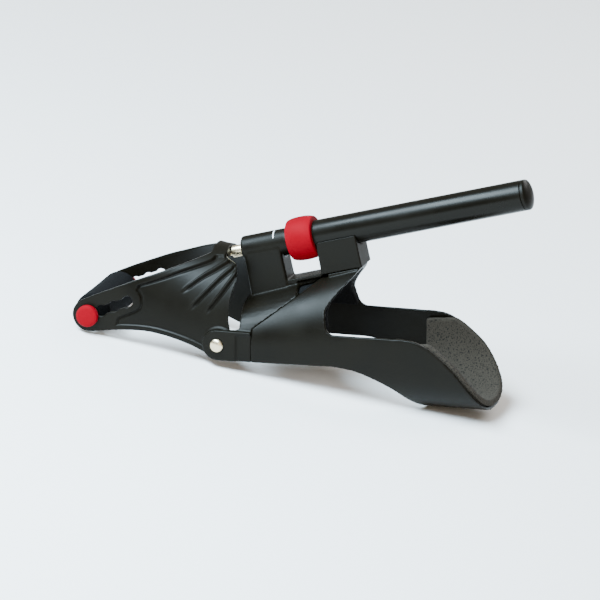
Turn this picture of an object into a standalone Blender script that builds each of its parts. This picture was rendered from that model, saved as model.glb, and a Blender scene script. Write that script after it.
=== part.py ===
"""Dynamic wrist orthosis: an arm frame worn along the forearm, and a sprung hand lever at the wrist.

Everything is modelled in the arm's own frame, in metres. The origin is the middle of the wrist
pivot, X runs back along the forearm, the near side is -Y and Z points up. An empty then turns the
whole so that it stands on its grip's foam roll and on the heel of its elbow cradle.
"""

import math

import bmesh
import bpy
from mathutils import Vector

MM = 0.001
GAP = 0.3 * MM  # between pieces that rest on or run in each other
MARGIN = 5.0 * MM  # how far a tool reaches past what it cuts
MERGE = 0.01 * MM

# Arm body: an arch over the forearm in front, a trough under the elbow behind.
ARM_LENGTH = 220.0 * MM  # wrist pivot to the rear tip of the cradle
ARM_FRONT = 12.4 * MM  # wrist pivot to the front edge of the arch's crown
ARM_HALF_WIDTH = 54.0 * MM  # outer half width at the wrist
ARM_TAPER = 7.0 * MM  # how much narrower each side is at the cradle's tip
ARM_WALL = 3.0 * MM
ARM_LOW_EDGE = 12.4 * MM  # lower edge of the side arms, below the pivot
ARM_TOP_EDGE = 14.7 * MM  # upper edge of the side arms, above the pivot
CROWN_HEIGHT = 31.0 * MM  # arch's crown above the pivot at its front edge
CROWN_RISE = 0.325  # climb of the crown for each metre back
TROUGH_DEPTH = 48.0 * MM  # cradle's bottom below the pivot
CROWN_POWER = 2.2  # 2 would make the crown's section an ellipse, more makes it squarer
TROUGH_POWER = 2.4
SEAM_FOOT = 28.4 * MM  # where the joint between arch and arm shell starts, behind the pivot

# Wrist joint
TAB_RADIUS = 12.4 * MM
TAB_THICKNESS = 4.5 * MM
RECESS_FRONT = 15.5 * MM  # step in the tab's outer face, behind the pivot
RECESS_TOP = 10.7 * MM
RECESS_DEPTH = 1.5 * MM
RIVET_HEAD_RADIUS = 5.5 * MM
RIVET_HEAD_HEIGHT = 2.6 * MM
RIVET_RADIUS = 2.0 * MM

# Spring tube: its axis climbs towards the elbow
TUBE_ANGLE = math.radians(15.04)
TUBE_HEIGHT = 65.0 * MM  # axis above the wrist pivot
TUBE_FRONT = 7.1 * MM  # front face of the sleeve, behind the pivot
TUBE_LENGTH = 246.9 * MM
TUBE_RADIUS = 12.5 * MM
TUBE_WALL = 2.0 * MM
NECK_RADIUS = 9.3 * MM
NECK_BORE = 7.6 * MM
NECK_SETBACK = 2.0 * MM  # front end of the neck inside the sleeve
TUBE_CHAMFER = 0.5 * MM
END_CAP_LENGTH = 4.3 * MM
END_CAP_DOME = 4.0 * MM  # height of the ball's part that closes the tube
END_CAP_PLUG = 8.0 * MM  # depth inside the tube
SLEEVE_RADIUS = 11.0 * MM
SLEEVE_LENGTH = 41.0 * MM
SLEEVE_ROUNDING = 1.5 * MM
RING_RADIUS = 17.8 * MM
RING_WIDTH = 22.0 * MM
RING_CROWN = 1.6 * MM  # how much smaller the ring's radius is at its edges
POST_FOOT = 30.3 * MM  # underside of the rear post, below the tube's axis
POST_HALF_WIDTH = 11.5 * MM
POST_LENGTH = 34.0 * MM  # along the tube, front and rear post alike
POST_LEAN = 2.4 * MM
POST_ROUNDING = 2.0 * MM
FRONT_POST_START = 2.2 * MM  # behind the sleeve's front face
FRONT_POST_FOOT = 44.3 * MM  # reaches into the arch
SADDLE_HALF_WIDTH = 13.0 * MM
SADDLE_TOP = 3.5 * MM  # top of the rear post, below the tube's axis
SADDLE_FRONT_DEPTH = 3.9 * MM  # block on the arm shell that carries the rear post
SADDLE_REAR_DEPTH = 2.1 * MM
SILL_HALF_WIDTH = 10.5 * MM
SILL_ROOT = 8.0 * MM  # part of the sill inside the front post
SILL_THICKNESS = 3.0 * MM
SILL_LEAN = 7.8 * MM  # how much shorter the sill is along its underside
SILL_STEP = 0.8 * MM  # sill's floor above the rear post's underside
POST_TOE = 4.0 * MM  # part of the rear post that the sill runs into, ahead of the seam
POST_WALL = 3.0 * MM

# Hand lever: two cheeks that close into a hood over the wrist
LEVER_REACH = 110.2 * MM  # pivot to the middle of the nose, along the arm
NOSE_RISE = 15.4 * MM
NOSE_RADIUS = 13.4 * MM
CHEEK_INSET = 5.0 * MM  # cheek's outer face inside the tab's
HOOD_CROWN = 70.0 * MM
HOOD_GROWTH = 1.353  # how much higher the hood's curve would reach at the nose, as a share
HOOD_WALL = 3.0 * MM
EYE_RADIUS = 10.5 * MM
YOKE_SHARE = 0.1086  # linkage pin ahead of the pivot, as a share of the crown's height
YOKE_LENGTH = 12.0 * MM  # strap over the wrist, along the arm
YOKE_REACH = 3.73 * MM  # strap's rear edge behind the linkage pin
LUG_WIDTH = 9.0 * MM
LUG_RADIUS = 4.5 * MM
LUG_INSET = 2.0 * MM  # from the strap's front and rear edge
LUG_TOP = 2.8 * MM  # below the crown, inside the strap's wall

# Rod that joins the lever to the spring in the tube
ROD_RADIUS = 3.0 * MM
ROD_EYE_RADIUS = 3.9 * MM
ROD_EYE_WIDTH = 7.4 * MM
ROD_LENGTH = 72.0 * MM
ROD_PIN_RADIUS = 1.5 * MM
COLLAR_RADIUS = 4.9 * MM
COLLAR_START = 5.4 * MM
COLLAR_LENGTH = 9.5 * MM
COLLAR_CHAMFER = 0.6 * MM
ROD_CHAMFER = 0.5 * MM

# Grip
SLOT_PITCH = 11.7 * MM
SLOT_STEPS = 3
SLOT_ANGLE = math.radians(21.9)
SLOT_LOBE = 4.6 * MM
BAR_RADIUS = 4.0 * MM
BAR_END_RADIUS = 3.0 * MM
GRIP_CAP_RADIUS = 8.9 * MM
GRIP_CAP_HEIGHT = 5.0 * MM
GRIP_CAP_ROUNDING = 1.6 * MM
FOAM_RADIUS = 15.0 * MM
FOAM_HALF_LENGTH = 38.0 * MM
FOAM_ROUNDING = 3.0 * MM

# Foam
ARCH_PAD_THICKNESS = 7.0 * MM
ARCH_PAD_SETBACK = 8.0 * MM  # front edge behind the seam's foot
ARCH_PAD_LIFT = 2.0 * MM  # lower edge above the side arms
CRADLE_PAD_THICKNESS = 5.0 * MM
CRADLE_PAD_SETBACK = 4.0 * MM  # front edge behind the shell's
PAD_PROUD = 2.5 * MM  # how far the cradle's foam stands out past the shell's edge

# Side outlines. Columns are shares: x of ARM_LENGTH, z of TROUGH_DEPTH.
CRADLE_FRONT_EDGE = (
    (0.432, -0.235),
    (0.509, -0.281),
    (0.582, -0.400),
    (0.655, -0.583),
    (0.714, -0.823),
    (0.759, -1.004),
)
CRADLE_REAR_EDGE = (
    (0.700, 0.318),
    (0.741, 0.296),
    (0.777, 0.231),
    (0.818, 0.113),
    (0.893, -0.202),
    (0.959, -0.658),
    (0.984, -0.896),
    (0.995, -1.083),
)
# Columns: x of ARM_LENGTH, z of the crown's height at the rear post.
ARCH_REAR_EDGE = (
    (0.487, 0.980),
    (0.466, 0.876),
    (0.426, 0.704),
    (0.402, 0.560),
    (0.401, 0.460),
    (0.412, 0.300),
    (0.433, 0.238),
)
# Columns: x of ARM_FRONT, z of CROWN_HEIGHT.
ARCH_FRONT_EDGE = (
    (0.793, 1.194),
    (1.000, 1.000),
    (1.300, 0.740),
    (1.390, 0.474),
)
# Opening in the arch's flank. Columns: place along the tube of POST_LENGTH, depth of POST_FOOT.
NOTCH = (
    (1.176, 1.066),
    (1.294, 1.314),
    (2.224, 1.314),
    (1.900, 1.066),
)
NOTCH_INNER = 0.157  # of ARM_HALF_WIDTH
NOTCH_OUTER = 0.550
# Columns: x of LEVER_REACH ahead of the pivot, z of HOOD_CROWN.
LEVER_TOP_EDGE = (
    (1.050, 0.396),
    (0.916, 0.490),
    (0.766, 0.587),
    (0.620, 0.680),
    (0.476, 0.761),
    (0.340, 0.844),
    (0.211, 0.917),
    (0.144, 0.957),
)
LEVER_LOW_EDGE = (
    (0.113, -0.107),
    (0.221, -0.036),
    (0.375, 0.034),
    (0.529, 0.076),
    (0.682, 0.080),
    (0.836, 0.061),
    (0.989, 0.027),
)
# Columns: x behind the pivot and z, both of HOOD_CROWN.
LEVER_REAR_EDGE = (
    (0.034, 0.886),
    (0.111, 0.846),
    (0.144, 0.730),
    (0.127, 0.617),
    (0.107, 0.509),
    (0.104, 0.286),
    (0.119, 0.217),
)

PARTS = "dynamic_wrist_orthosis"
TOOLS = "cutters"
REAR_POST_START = SLEEVE_LENGTH + GAP + RING_WIDTH + GAP
RING_START = SLEEVE_LENGTH + GAP
WHOLE = 4 * ARM_HALF_WIDTH  # wide enough to pass right through the object
TAB_INNER = ARM_HALF_WIDTH - TAB_THICKNESS
HOOD_HALF_WIDTH = ARM_HALF_WIDTH - CHEEK_INSET


def clear_scene():
    for item in list(bpy.data.objects):
        bpy.data.objects.remove(item, do_unlink=True)
    for mesh in list(bpy.data.meshes):
        bpy.data.meshes.remove(mesh)
    for name in (PARTS, TOOLS):
        old = bpy.data.collections.get(name)
        if old:
            bpy.data.collections.remove(old)
        bpy.context.scene.collection.children.link(bpy.data.collections.new(name))


def material(name, colour, roughness, metallic=0.0):
    made = bpy.data.materials.get(name) or bpy.data.materials.new(name)
    made.use_nodes = True
    shader = made.node_tree.nodes["Principled BSDF"]
    shader.inputs["Base Color"].default_value = (*colour, 1.0)
    shader.inputs["Roughness"].default_value = roughness
    shader.inputs["Metallic"].default_value = metallic
    return made


def black_plastic():
    return material("black_plastic", (0.018, 0.019, 0.021), 0.38)


def black_steel():
    return material("black_steel", (0.016, 0.017, 0.019), 0.30, 0.2)


def red_plastic():
    return material("red_plastic", (0.75, 0.01, 0.03), 0.35)


def nickel():
    return material("nickel", (0.72, 0.68, 0.60), 0.25, 1.0)


def dark_foam():
    return material("dark_foam", (0.015, 0.016, 0.018), 0.9)


def grey_foam():
    return material("grey_foam", (0.22, 0.21, 0.20), 0.9)


def add_object(name, mesh, finish, parent):
    """A part when it has a finish, otherwise a hidden tool for cutting or joining."""
    made = bpy.data.objects.new(name, mesh)
    bpy.data.collections[PARTS if finish else TOOLS].objects.link(made)
    made.parent = parent
    if finish:
        mesh.materials.append(finish)
    else:
        made.hide_render = True
        made.display_type = "WIRE"
    return made


def smooth_path(points, steps=4):
    """Points along a smooth curve through the given (x, z) points."""
    ends = [points[0], *points, points[-1]]
    path = []
    for a, b, c, d in zip(ends, ends[1:], ends[2:], ends[3:]):
        for step in range(steps):
            t = step / steps
            path.append(
                tuple(
                    0.5 * (2 * q + (r - p) * t + (2 * p - 5 * q + 4 * r - s) * t**2)
                    + 0.5 * (3 * q - p - 3 * r + s) * t**3
                    for p, q, r, s in zip(a, b, c, d)
                )
            )
    return [*path, tuple(points[-1])]


def scaled(table, x_size, z_size):
    return [(x * x_size, z * z_size) for x, z in table]


def arc(centre, radius, start, end, steps):
    """Points on an arc, angles in degrees."""
    return [
        (
            centre[0] + radius * math.cos(math.radians(start + (end - start) * i / steps)),
            centre[1] + radius * math.sin(math.radians(start + (end - start) * i / steps)),
        )
        for i in range(steps + 1)
    ]


def plate(name, outline, y_low, y_high, finish=None, parent=None):
    """A flat outline in the side view (x, z), given thickness across the arm."""
    curve = bpy.data.curves.new(name + "_outline", "CURVE")
    curve.dimensions = "2D"
    curve.fill_mode = "BOTH"
    curve.extrude = (y_high - y_low) / 2
    spline = curve.splines.new("POLY")
    spline.points.add(len(outline) - 1)
    for point, (x, z) in zip(spline.points, outline):
        point.co = (x, z, 0.0, 1.0)
    spline.use_cyclic_u = True
    drawn = bpy.data.objects.new(name + "_outline", curve)
    bpy.context.scene.collection.objects.link(drawn)
    drawn.rotation_euler = (math.pi / 2, 0.0, 0.0)
    drawn.location = (0.0, (y_low + y_high) / 2, 0.0)
    bpy.context.view_layer.update()
    seen = drawn.evaluated_get(bpy.context.evaluated_depsgraph_get())
    mesh = bpy.data.meshes.new_from_object(seen)
    mesh.transform(drawn.matrix_world)
    bpy.data.objects.remove(drawn, do_unlink=True)
    cage = bmesh.new()
    cage.from_mesh(mesh)
    bmesh.ops.remove_doubles(cage, verts=cage.verts, dist=MERGE)
    bmesh.ops.recalc_face_normals(cage, faces=cage.faces)
    cage.to_mesh(mesh)
    cage.free()
    mesh.name = name
    return add_object(name, mesh, finish, parent)


def turned(name, profile, steps, finish=None, parent=None):
    """A turned solid about its local Z: (radius, height) from the top down its outer side."""
    mesh = bpy.data.meshes.new(name)
    cage = bmesh.new()
    points = [cage.verts.new((radius, 0.0, height)) for radius, height in profile]
    for first, second in zip(points, points[1:]):
        cage.edges.new((first, second))
    if profile[0][0] > 0:
        cage.edges.new((points[-1], points[0]))
    cage.to_mesh(mesh)
    cage.free()
    made = add_object(name, mesh, finish, parent)
    screw = made.modifiers.new("turn", "SCREW")
    screw.axis = "Z"
    screw.angle = 2 * math.pi
    screw.steps = screw.render_steps = steps
    screw.use_merge_vertices = True
    screw.merge_threshold = MERGE
    screw.use_smooth_shade = True
    return made


def drum(name, radius, low, high, steps, parent, across=False):
    """A plain cylinder tool along the tube, or across the arm."""
    mesh = bpy.data.meshes.new(name)
    cage = bmesh.new()
    bmesh.ops.create_cone(
        cage, cap_ends=True, segments=steps, radius1=radius, radius2=radius, depth=high - low
    )
    bmesh.ops.translate(cage, verts=cage.verts, vec=(0.0, 0.0, (low + high) / 2))
    cage.to_mesh(mesh)
    cage.free()
    made = add_object(name, mesh, None, parent)
    if across:
        made.rotation_euler = (math.pi / 2, 0.0, 0.0)
    return made


def modify(target, tool, operation):
    step = target.modifiers.new(tool.name, "BOOLEAN")
    step.operation = operation
    step.object = tool
    step.solver = "EXACT"


def cut(target, *tools):
    for tool in tools:
        modify(target, tool, "DIFFERENCE")


def join(target, *tools):
    for tool in tools:
        modify(target, tool, "UNION")


def keep_inside(target, tool):
    modify(target, tool, "INTERSECT")


def weld(made):
    """Closes the hairline seams that cuts through a shared corner leave."""
    step = made.modifiers.new("weld", "WELD")
    step.merge_threshold = 2 * MERGE


def loft(name, rings, closed, finish, parent):
    """A sheet through sections of equal point counts, given as lists of (x, y, z)."""
    mesh = bpy.data.meshes.new(name)
    cage = bmesh.new()
    rows = [[cage.verts.new(point) for point in ring] for ring in rings]
    for row, following in zip(rows, rows[1:]):
        count = len(row)
        for i in range(count if closed else count - 1):
            j = (i + 1) % count
            cage.faces.new((row[i], row[j], following[j], following[i]))
    bmesh.ops.recalc_face_normals(cage, faces=cage.faces)
    cage.to_mesh(mesh)
    cage.free()
    return add_object(name, mesh, finish, parent)


def thicken(made, wall, side=-1.0):
    """Gives a sheet its wall behind its faces, or in front of them where side is 1."""
    step = made.modifiers.new("wall", "SOLIDIFY")
    step.thickness = wall
    step.offset = side
    step.use_even_offset = True


def tube_point(s, n):
    """Side-view place (x, z) at s along the tube from its front face and n above its axis."""
    front_z = TUBE_HEIGHT + TUBE_FRONT * math.tan(TUBE_ANGLE)
    return (
        TUBE_FRONT + s * math.cos(TUBE_ANGLE) - n * math.sin(TUBE_ANGLE),
        front_z + s * math.sin(TUBE_ANGLE) + n * math.cos(TUBE_ANGLE),
    )


def on_tube(made, s=0.0):
    x, z = tube_point(s, 0.0)
    made.location = (x, 0.0, z)
    made.rotation_euler = (0.0, math.pi / 2 - TUBE_ANGLE, 0.0)


def half_width(x):
    share = min(max(x / ARM_LENGTH, 0.0), 1.0)
    return ARM_HALF_WIDTH - ARM_TAPER * share


def crown(x):
    return CROWN_HEIGHT + CROWN_RISE * (x - ARM_FRONT)


def arm_ring(x, inset, steps=12):
    """Closed section of the arm body at x: a crown above the pivot's height, a trough below."""
    ring = []
    for i in range(4 * steps):
        angle = 0.5 * math.pi * i / steps
        up = math.cos(angle) > 0
        power = CROWN_POWER if up else TROUGH_POWER
        reach = (crown(x) if up else TROUGH_DEPTH) - inset
        side = math.sin(angle)
        rise = math.cos(angle)
        y = (half_width(x) - inset) * math.copysign(abs(side) ** (2 / power), side)
        z = reach * math.copysign(abs(rise) ** (2 / power), rise)
        ring.append((x, y, z))
    return ring


def arm_sheet(name, x_low, x_high, inset, wall, finish, parent, stations=9):
    xs = [x_low + (x_high - x_low) * i / (stations - 1) for i in range(stations)]
    sheet = loft(name, [arm_ring(x, inset) for x in xs], True, finish, parent)
    thicken(sheet, wall)
    return sheet


def seam(offset):
    """The joint between arch and arm shell in the side view, moved back by offset."""
    corner_x, corner_z = tube_point(REAR_POST_START + POST_TOE + offset, -POST_FOOT)
    return [
        (SEAM_FOOT + offset, -ARM_LOW_EDGE),
        (SEAM_FOOT + offset, ARM_TOP_EDGE),
        (corner_x + offset / 2, corner_z - offset / 2),
    ]


def post_outline(start, length, top, foot):
    """A post's side outline between two heights below the tube's axis, leaning at both ends."""
    lean = POST_LEAN / POST_FOOT
    return [
        tube_point(start - lean * top, -top),
        tube_point(start - lean * foot, -foot),
        tube_point(start + length - lean * foot / 2, -foot),
        tube_point(start + length - lean * top / 2, -top),
    ]


def rounded(made, width, segments=2):
    step = made.modifiers.new("rounding", "BEVEL")
    step.width = width
    step.segments = segments
    step.limit_method = "ANGLE"
    step.angle_limit = math.radians(40)


def arm_core(name, x_low, x_high, inset, finish, parent, stations=9):
    """Solid body of the arm's section, its two ends closed."""
    xs = [x_low + (x_high - x_low) * i / (stations - 1) for i in range(stations)]
    core = loft(name, [arm_ring(x, inset) for x in xs], True, finish, parent)
    cage = bmesh.new()
    cage.from_mesh(core.data)
    bmesh.ops.holes_fill(cage, edges=cage.edges, sides=0)
    bmesh.ops.recalc_face_normals(cage, faces=cage.faces)
    cage.to_mesh(core.data)
    cage.free()
    return core


def build_front_arch(parent):
    """The front moulding: arch over the wrist, both posts, tube sleeve, sill and hinge tabs."""
    foot, shoulder, corner = seam(0.0)
    front = ARM_FRONT - MARGIN
    rear = corner[0] + 2 * MARGIN
    arch = arm_core("front_arch", front, rear, 0.0, black_plastic(), parent)
    tab_box = (
        (-2 * TAB_RADIUS, -2 * TAB_RADIUS),
        (SEAM_FOOT + MARGIN, -2 * TAB_RADIUS),
        (SEAM_FOOT + MARGIN, TAB_RADIUS),
        (-2 * TAB_RADIUS, TAB_RADIUS),
    )
    join(
        arch,
        plate("near_tab_tool", tab_box, -ARM_HALF_WIDTH, -TAB_INNER, None, parent),
        plate("far_tab_tool", tab_box, TAB_INNER, ARM_HALF_WIDTH, None, parent),
    )
    front_edge = scaled(ARCH_FRONT_EDGE, ARM_FRONT, CROWN_HEIGHT)
    outline = [
        *smooth_path(front_edge, 3),
        *arc((0.0, 0.0), TAB_RADIUS, 90, 270, 16),
        foot,
        shoulder,
        corner,
        (corner[0], corner[1] + CROWN_HEIGHT),
    ]
    keep_inside(arch, plate("arch_outline", outline, -WHOLE, WHOLE, None, parent))

    post = plate(
        "front_post_tool",
        post_outline(FRONT_POST_START, POST_LENGTH - FRONT_POST_START, 0.0, FRONT_POST_FOOT),
        -POST_HALF_WIDTH, POST_HALF_WIDTH, None, parent,
    )
    rounded(post, POST_ROUNDING)
    sleeve = drum("sleeve_tool", SLEEVE_RADIUS, 0.0, SLEEVE_LENGTH, 32, parent)
    on_tube(sleeve)
    rounded(sleeve, SLEEVE_ROUNDING)
    rear_post_start = REAR_POST_START + GAP + POST_LEAN * RING_RADIUS / POST_FOOT
    rear_post = plate(
        "rear_post_tool",
        post_outline(rear_post_start, POST_LENGTH, SADDLE_TOP, POST_FOOT),
        -SADDLE_HALF_WIDTH, SADDLE_HALF_WIDTH, None, parent,
    )
    sill_rear = REAR_POST_START + POST_TOE - 2 * GAP
    sill = plate(
        "sill_tool",
        [
            tube_point(POST_LENGTH - SILL_ROOT, -POST_FOOT + SILL_STEP),
            tube_point(sill_rear, -POST_FOOT + SILL_STEP),
            tube_point(sill_rear - SILL_LEAN, -POST_FOOT - SILL_THICKNESS),
            tube_point(POST_LENGTH - SILL_ROOT, -POST_FOOT - SILL_THICKNESS),
        ],
        -SILL_HALF_WIDTH, SILL_HALF_WIDTH, None, parent,
    )
    join(arch, post, sleeve, rear_post, sill)
    for side, low, high in (
        ("near", -ARM_HALF_WIDTH - MARGIN, -ARM_HALF_WIDTH + RECESS_DEPTH),
        ("far", ARM_HALF_WIDTH - RECESS_DEPTH, ARM_HALF_WIDTH + MARGIN),
    ):
        recess_outline = [
            (RECESS_FRONT, -2 * TAB_RADIUS),
            (SEAM_FOOT + MARGIN, -2 * TAB_RADIUS),
            (SEAM_FOOT + MARGIN, RECESS_TOP),
            (RECESS_FRONT, RECESS_TOP),
        ]
        cut(arch, plate(f"{side}_recess_tool", recess_outline, low, high, None, parent))
    cut(arch, arm_core("arch_void", front - MARGIN, rear + MARGIN, ARM_WALL, None, parent))
    room_rear, room_top = front_edge[-1]
    cheek_room = [
        (-2 * TAB_RADIUS, -2 * TAB_RADIUS),
        (room_rear, -2 * TAB_RADIUS),
        (room_rear - MERGE, room_top + 3 * GAP),
        (-2 * TAB_RADIUS, room_top + 3 * GAP),
    ]
    cut(arch, plate("cheek_room_tool", cheek_room, -TAB_INNER, TAB_INNER, None, parent))
    cut(arch, notch_tool("near", -1, parent), notch_tool("far", 1, parent))

    bore = drum("sleeve_bore", NECK_RADIUS + GAP, -2 * MARGIN, REAR_POST_START, 32, parent)
    on_tube(bore)
    saddle = drum(
        "saddle_bore", TUBE_RADIUS + GAP, REAR_POST_START - GAP, TUBE_LENGTH, 32, parent
    )
    on_tube(saddle)
    rivet_hole = drum("tab_holes", RIVET_RADIUS + GAP, -WHOLE, WHOLE, 16, parent, across=True)
    hollow_front = plate(
        "front_post_hollow",
        post_outline(
            FRONT_POST_START + POST_WALL, POST_LENGTH - FRONT_POST_START - 2 * POST_WALL,
            SLEEVE_RADIUS + POST_WALL, FRONT_POST_FOOT,
        ),
        -POST_HALF_WIDTH + POST_WALL, POST_HALF_WIDTH - POST_WALL, None, parent,
    )
    hollow_rear = plate(
        "rear_post_hollow",
        post_outline(
            rear_post_start + POST_WALL, POST_LENGTH - 2 * POST_WALL,
            TUBE_RADIUS + POST_WALL, POST_FOOT + MARGIN,
        ),
        -POST_HALF_WIDTH + POST_WALL, POST_HALF_WIDTH - POST_WALL, None, parent,
    )
    cut(arch, bore, saddle, rivet_hole, hollow_front, hollow_rear)
    weld(arch)
    return arch


def notch_tool(side, sign, parent):
    """Opening in the arch's flank between the sill and the arm shell's leading edge."""
    outline = [tube_point(s * POST_LENGTH, -n * POST_FOOT) for s, n in NOTCH]
    low, high = sorted(
        (sign * NOTCH_INNER * ARM_HALF_WIDTH, sign * NOTCH_OUTER * ARM_HALF_WIDTH)
    )
    return plate(f"{side}_notch_tool", outline, low, high, None, parent)


def arch_rear_edge():
    """Rear edge of the arch's leg in the side view, from the crown down."""
    return scaled(ARCH_REAR_EDGE, ARM_LENGTH, crown(ARCH_REAR_EDGE[0][0] * ARM_LENGTH))


def arm_outline():
    """Side outline of the rear moulding."""
    foot, shoulder, corner = seam(GAP)
    rear = arch_rear_edge()
    lip = scaled(CRADLE_REAR_EDGE, ARM_LENGTH, TROUGH_DEPTH)
    heel = scaled(CRADLE_FRONT_EDGE, ARM_LENGTH, TROUGH_DEPTH)
    return [
        foot,
        shoulder,
        corner,
        (corner[0], corner[1] + CROWN_HEIGHT),
        (rear[0][0] + MARGIN, rear[0][1] + CROWN_HEIGHT),
        *smooth_path(rear, 3),
        *smooth_path(lip, 3),
        (lip[-1][0], -2 * TROUGH_DEPTH),
        (heel[-1][0], -2 * TROUGH_DEPTH),
        *reversed(smooth_path(heel, 3)),
    ]


def build_arm_shell(parent):
    """The rear moulding: leg of the arch, side arms and the cradle under the elbow."""
    shell = arm_sheet(
        "arm_shell", SEAM_FOOT - MARGIN, ARM_LENGTH + MARGIN, 0.0, ARM_WALL,
        black_plastic(), parent, 13,
    )
    keep_inside(shell, plate("arm_outline_tool", arm_outline(), -WHOLE, WHOLE, None, parent))
    block_front = REAR_POST_START + POST_TOE + 2 * GAP
    block_rear = REAR_POST_START + POST_LENGTH - POST_LEAN
    saddle = plate(
        "saddle_block_tool",
        [
            tube_point(block_front, -POST_FOOT - GAP),
            tube_point(block_front, -POST_FOOT - SADDLE_FRONT_DEPTH),
            tube_point(block_rear, -POST_FOOT - SADDLE_REAR_DEPTH),
            tube_point(block_rear, -POST_FOOT - GAP),
        ],
        -SADDLE_HALF_WIDTH, SADDLE_HALF_WIDTH, None, parent,
    )
    join(shell, saddle)
    return shell


def build_arch_pad(parent):
    """Dark foam under the arch, its rear end following the leg's edge."""
    pad = arm_sheet(
        "arch_pad", SEAM_FOOT, ARCH_REAR_EDGE[0][0] * ARM_LENGTH + MARGIN, ARM_WALL + GAP,
        ARCH_PAD_THICKNESS, dark_foam(), parent, 6,
    )
    rear = arch_rear_edge()[:-1]
    front = SEAM_FOOT + ARCH_PAD_SETBACK
    low = ARM_TOP_EDGE + ARCH_PAD_LIFT
    outline = [
        (front, low),
        (front, rear[0][1] + MARGIN),
        (rear[0][0] + MARGIN, rear[0][1] + MARGIN),
        *smooth_path(rear, 3),
        (rear[-1][0], low),
    ]
    keep_inside(pad, plate("arch_pad_outline", outline, -WHOLE, WHOLE, None, parent))
    return pad


def build_cradle_pad(parent):
    """Grey foam that lines the cradle and stands a little proud of its rear edge."""
    lip = [
        (x * ARM_LENGTH + PAD_PROUD, z * TROUGH_DEPTH + PAD_PROUD / 3)
        for x, z in CRADLE_REAR_EDGE[2:]
    ]
    heel = [
        (x * ARM_LENGTH + CRADLE_PAD_SETBACK, z * TROUGH_DEPTH)
        for x, z in CRADLE_FRONT_EDGE[3:]
    ]
    pad = arm_sheet(
        "cradle_pad", heel[0][0] - MARGIN, ARM_LENGTH + MARGIN, ARM_WALL + GAP,
        CRADLE_PAD_THICKNESS, grey_foam(), parent, 7,
    )
    outline = [
        (heel[0][0], lip[0][1] - PAD_PROUD),
        *smooth_path(lip, 3),
        (lip[-1][0], -2 * TROUGH_DEPTH),
        (heel[-1][0], -2 * TROUGH_DEPTH),
        *reversed(smooth_path(heel, 3)),
    ]
    keep_inside(pad, plate("cradle_pad_outline", outline, -WHOLE, WHOLE, None, parent))
    return pad


def build_spring_tube(parent):
    """Neck inside the sleeve and ring, then the full tube, open at its rear end."""
    shoulder = REAR_POST_START - GAP
    end = TUBE_LENGTH - END_CAP_LENGTH
    profile = [
        (TUBE_RADIUS, end),
        (TUBE_RADIUS, shoulder + TUBE_CHAMFER),
        (TUBE_RADIUS - TUBE_CHAMFER, shoulder),
        (NECK_RADIUS, shoulder),
        (NECK_RADIUS, NECK_SETBACK),
        (NECK_BORE, NECK_SETBACK),
        (NECK_BORE, shoulder + TUBE_WALL),
        (TUBE_RADIUS - TUBE_WALL, shoulder + 2 * TUBE_WALL),
        (TUBE_RADIUS - TUBE_WALL, end),
    ]
    tube = turned("spring_tube", profile, 32, black_steel(), parent)
    on_tube(tube)
    return tube


def build_tube_end_cap(parent):
    start = TUBE_LENGTH - END_CAP_LENGTH + GAP
    plug_radius = TUBE_RADIUS - TUBE_WALL - GAP
    dome = [
        (
            TUBE_RADIUS * math.sin(math.radians(angle)),
            TUBE_LENGTH - END_CAP_DOME / 2 + END_CAP_DOME * math.cos(math.radians(angle)),
        )
        for angle in (0, 20, 40, 60, 75, 90)
    ]
    profile = [
        *dome,
        (TUBE_RADIUS, start),
        (plug_radius, start),
        (plug_radius, start - END_CAP_PLUG),
        (0.0, start - END_CAP_PLUG),
    ]
    cap = turned("tube_end_cap", profile, 32, black_plastic(), parent)
    on_tube(cap)
    return cap


def build_adjust_ring(parent):
    """Barrel-shaped ring on the tube's neck, between sleeve and rear post."""
    crowned = [
        (RING_RADIUS - RING_CROWN * abs(2 * share - 1) ** 2.6, RING_WIDTH * (1 - share))
        for share in (0.0, 0.08, 0.25, 0.5, 0.75, 0.92, 1.0)
    ]
    bore = NECK_RADIUS + GAP
    profile = [(bore, RING_WIDTH), *crowned, (bore, 0.0)]
    ring = turned("adjust_ring", profile, 40, red_plastic(), parent)
    on_tube(ring, RING_START)
    return ring


def hood_height(x):
    return HOOD_CROWN * (1 + HOOD_GROWTH * (x / LEVER_REACH) ** 2)


def hood_section(x, steps=12):
    """Open section of the hood at x, from the lower edge of one cheek over to the other."""
    side = HOOD_HALF_WIDTH
    top = hood_height(x)
    skirt = -EYE_RADIUS - MARGIN
    half = [(side, skirt), (side, 0.5 * skirt)]
    half += [
        (side * math.cos(0.5 * math.pi * i / steps), top * math.sin(0.5 * math.pi * i / steps))
        for i in range(steps)
    ]
    other = [(-y, z) for y, z in reversed(half)]
    return [(x, y, z) for y, z in [*half, (0.0, top), *other]]


def lever_outline():
    """Side outline of the hand lever: nose, top edge, crown strap, rear edge and pivot eye."""
    nose = (-LEVER_REACH, NOSE_RISE)
    top = [(-x * LEVER_REACH, z * HOOD_CROWN) for x, z in LEVER_TOP_EDGE]
    low = [(-x * LEVER_REACH, z * HOOD_CROWN) for x, z in LEVER_LOW_EDGE]
    rear = scaled(LEVER_REAR_EDGE, HOOD_CROWN, HOOD_CROWN)
    strap_rear = yoke_pin_place()[0] + YOKE_REACH
    strap_front = strap_rear - YOKE_LENGTH
    return [
        *smooth_path(top, 2),
        (strap_front, 1.2 * HOOD_CROWN),
        (strap_rear, 1.2 * HOOD_CROWN),
        (strap_rear, 0.92 * HOOD_CROWN),
        *smooth_path(rear, 2),
        *arc((0.0, 0.0), EYE_RADIUS, 10, -125, 10),
        *smooth_path(low, 2)[:-1],
        *arc(nose, NOSE_RADIUS, 278, 122, 14),
    ]


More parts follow.
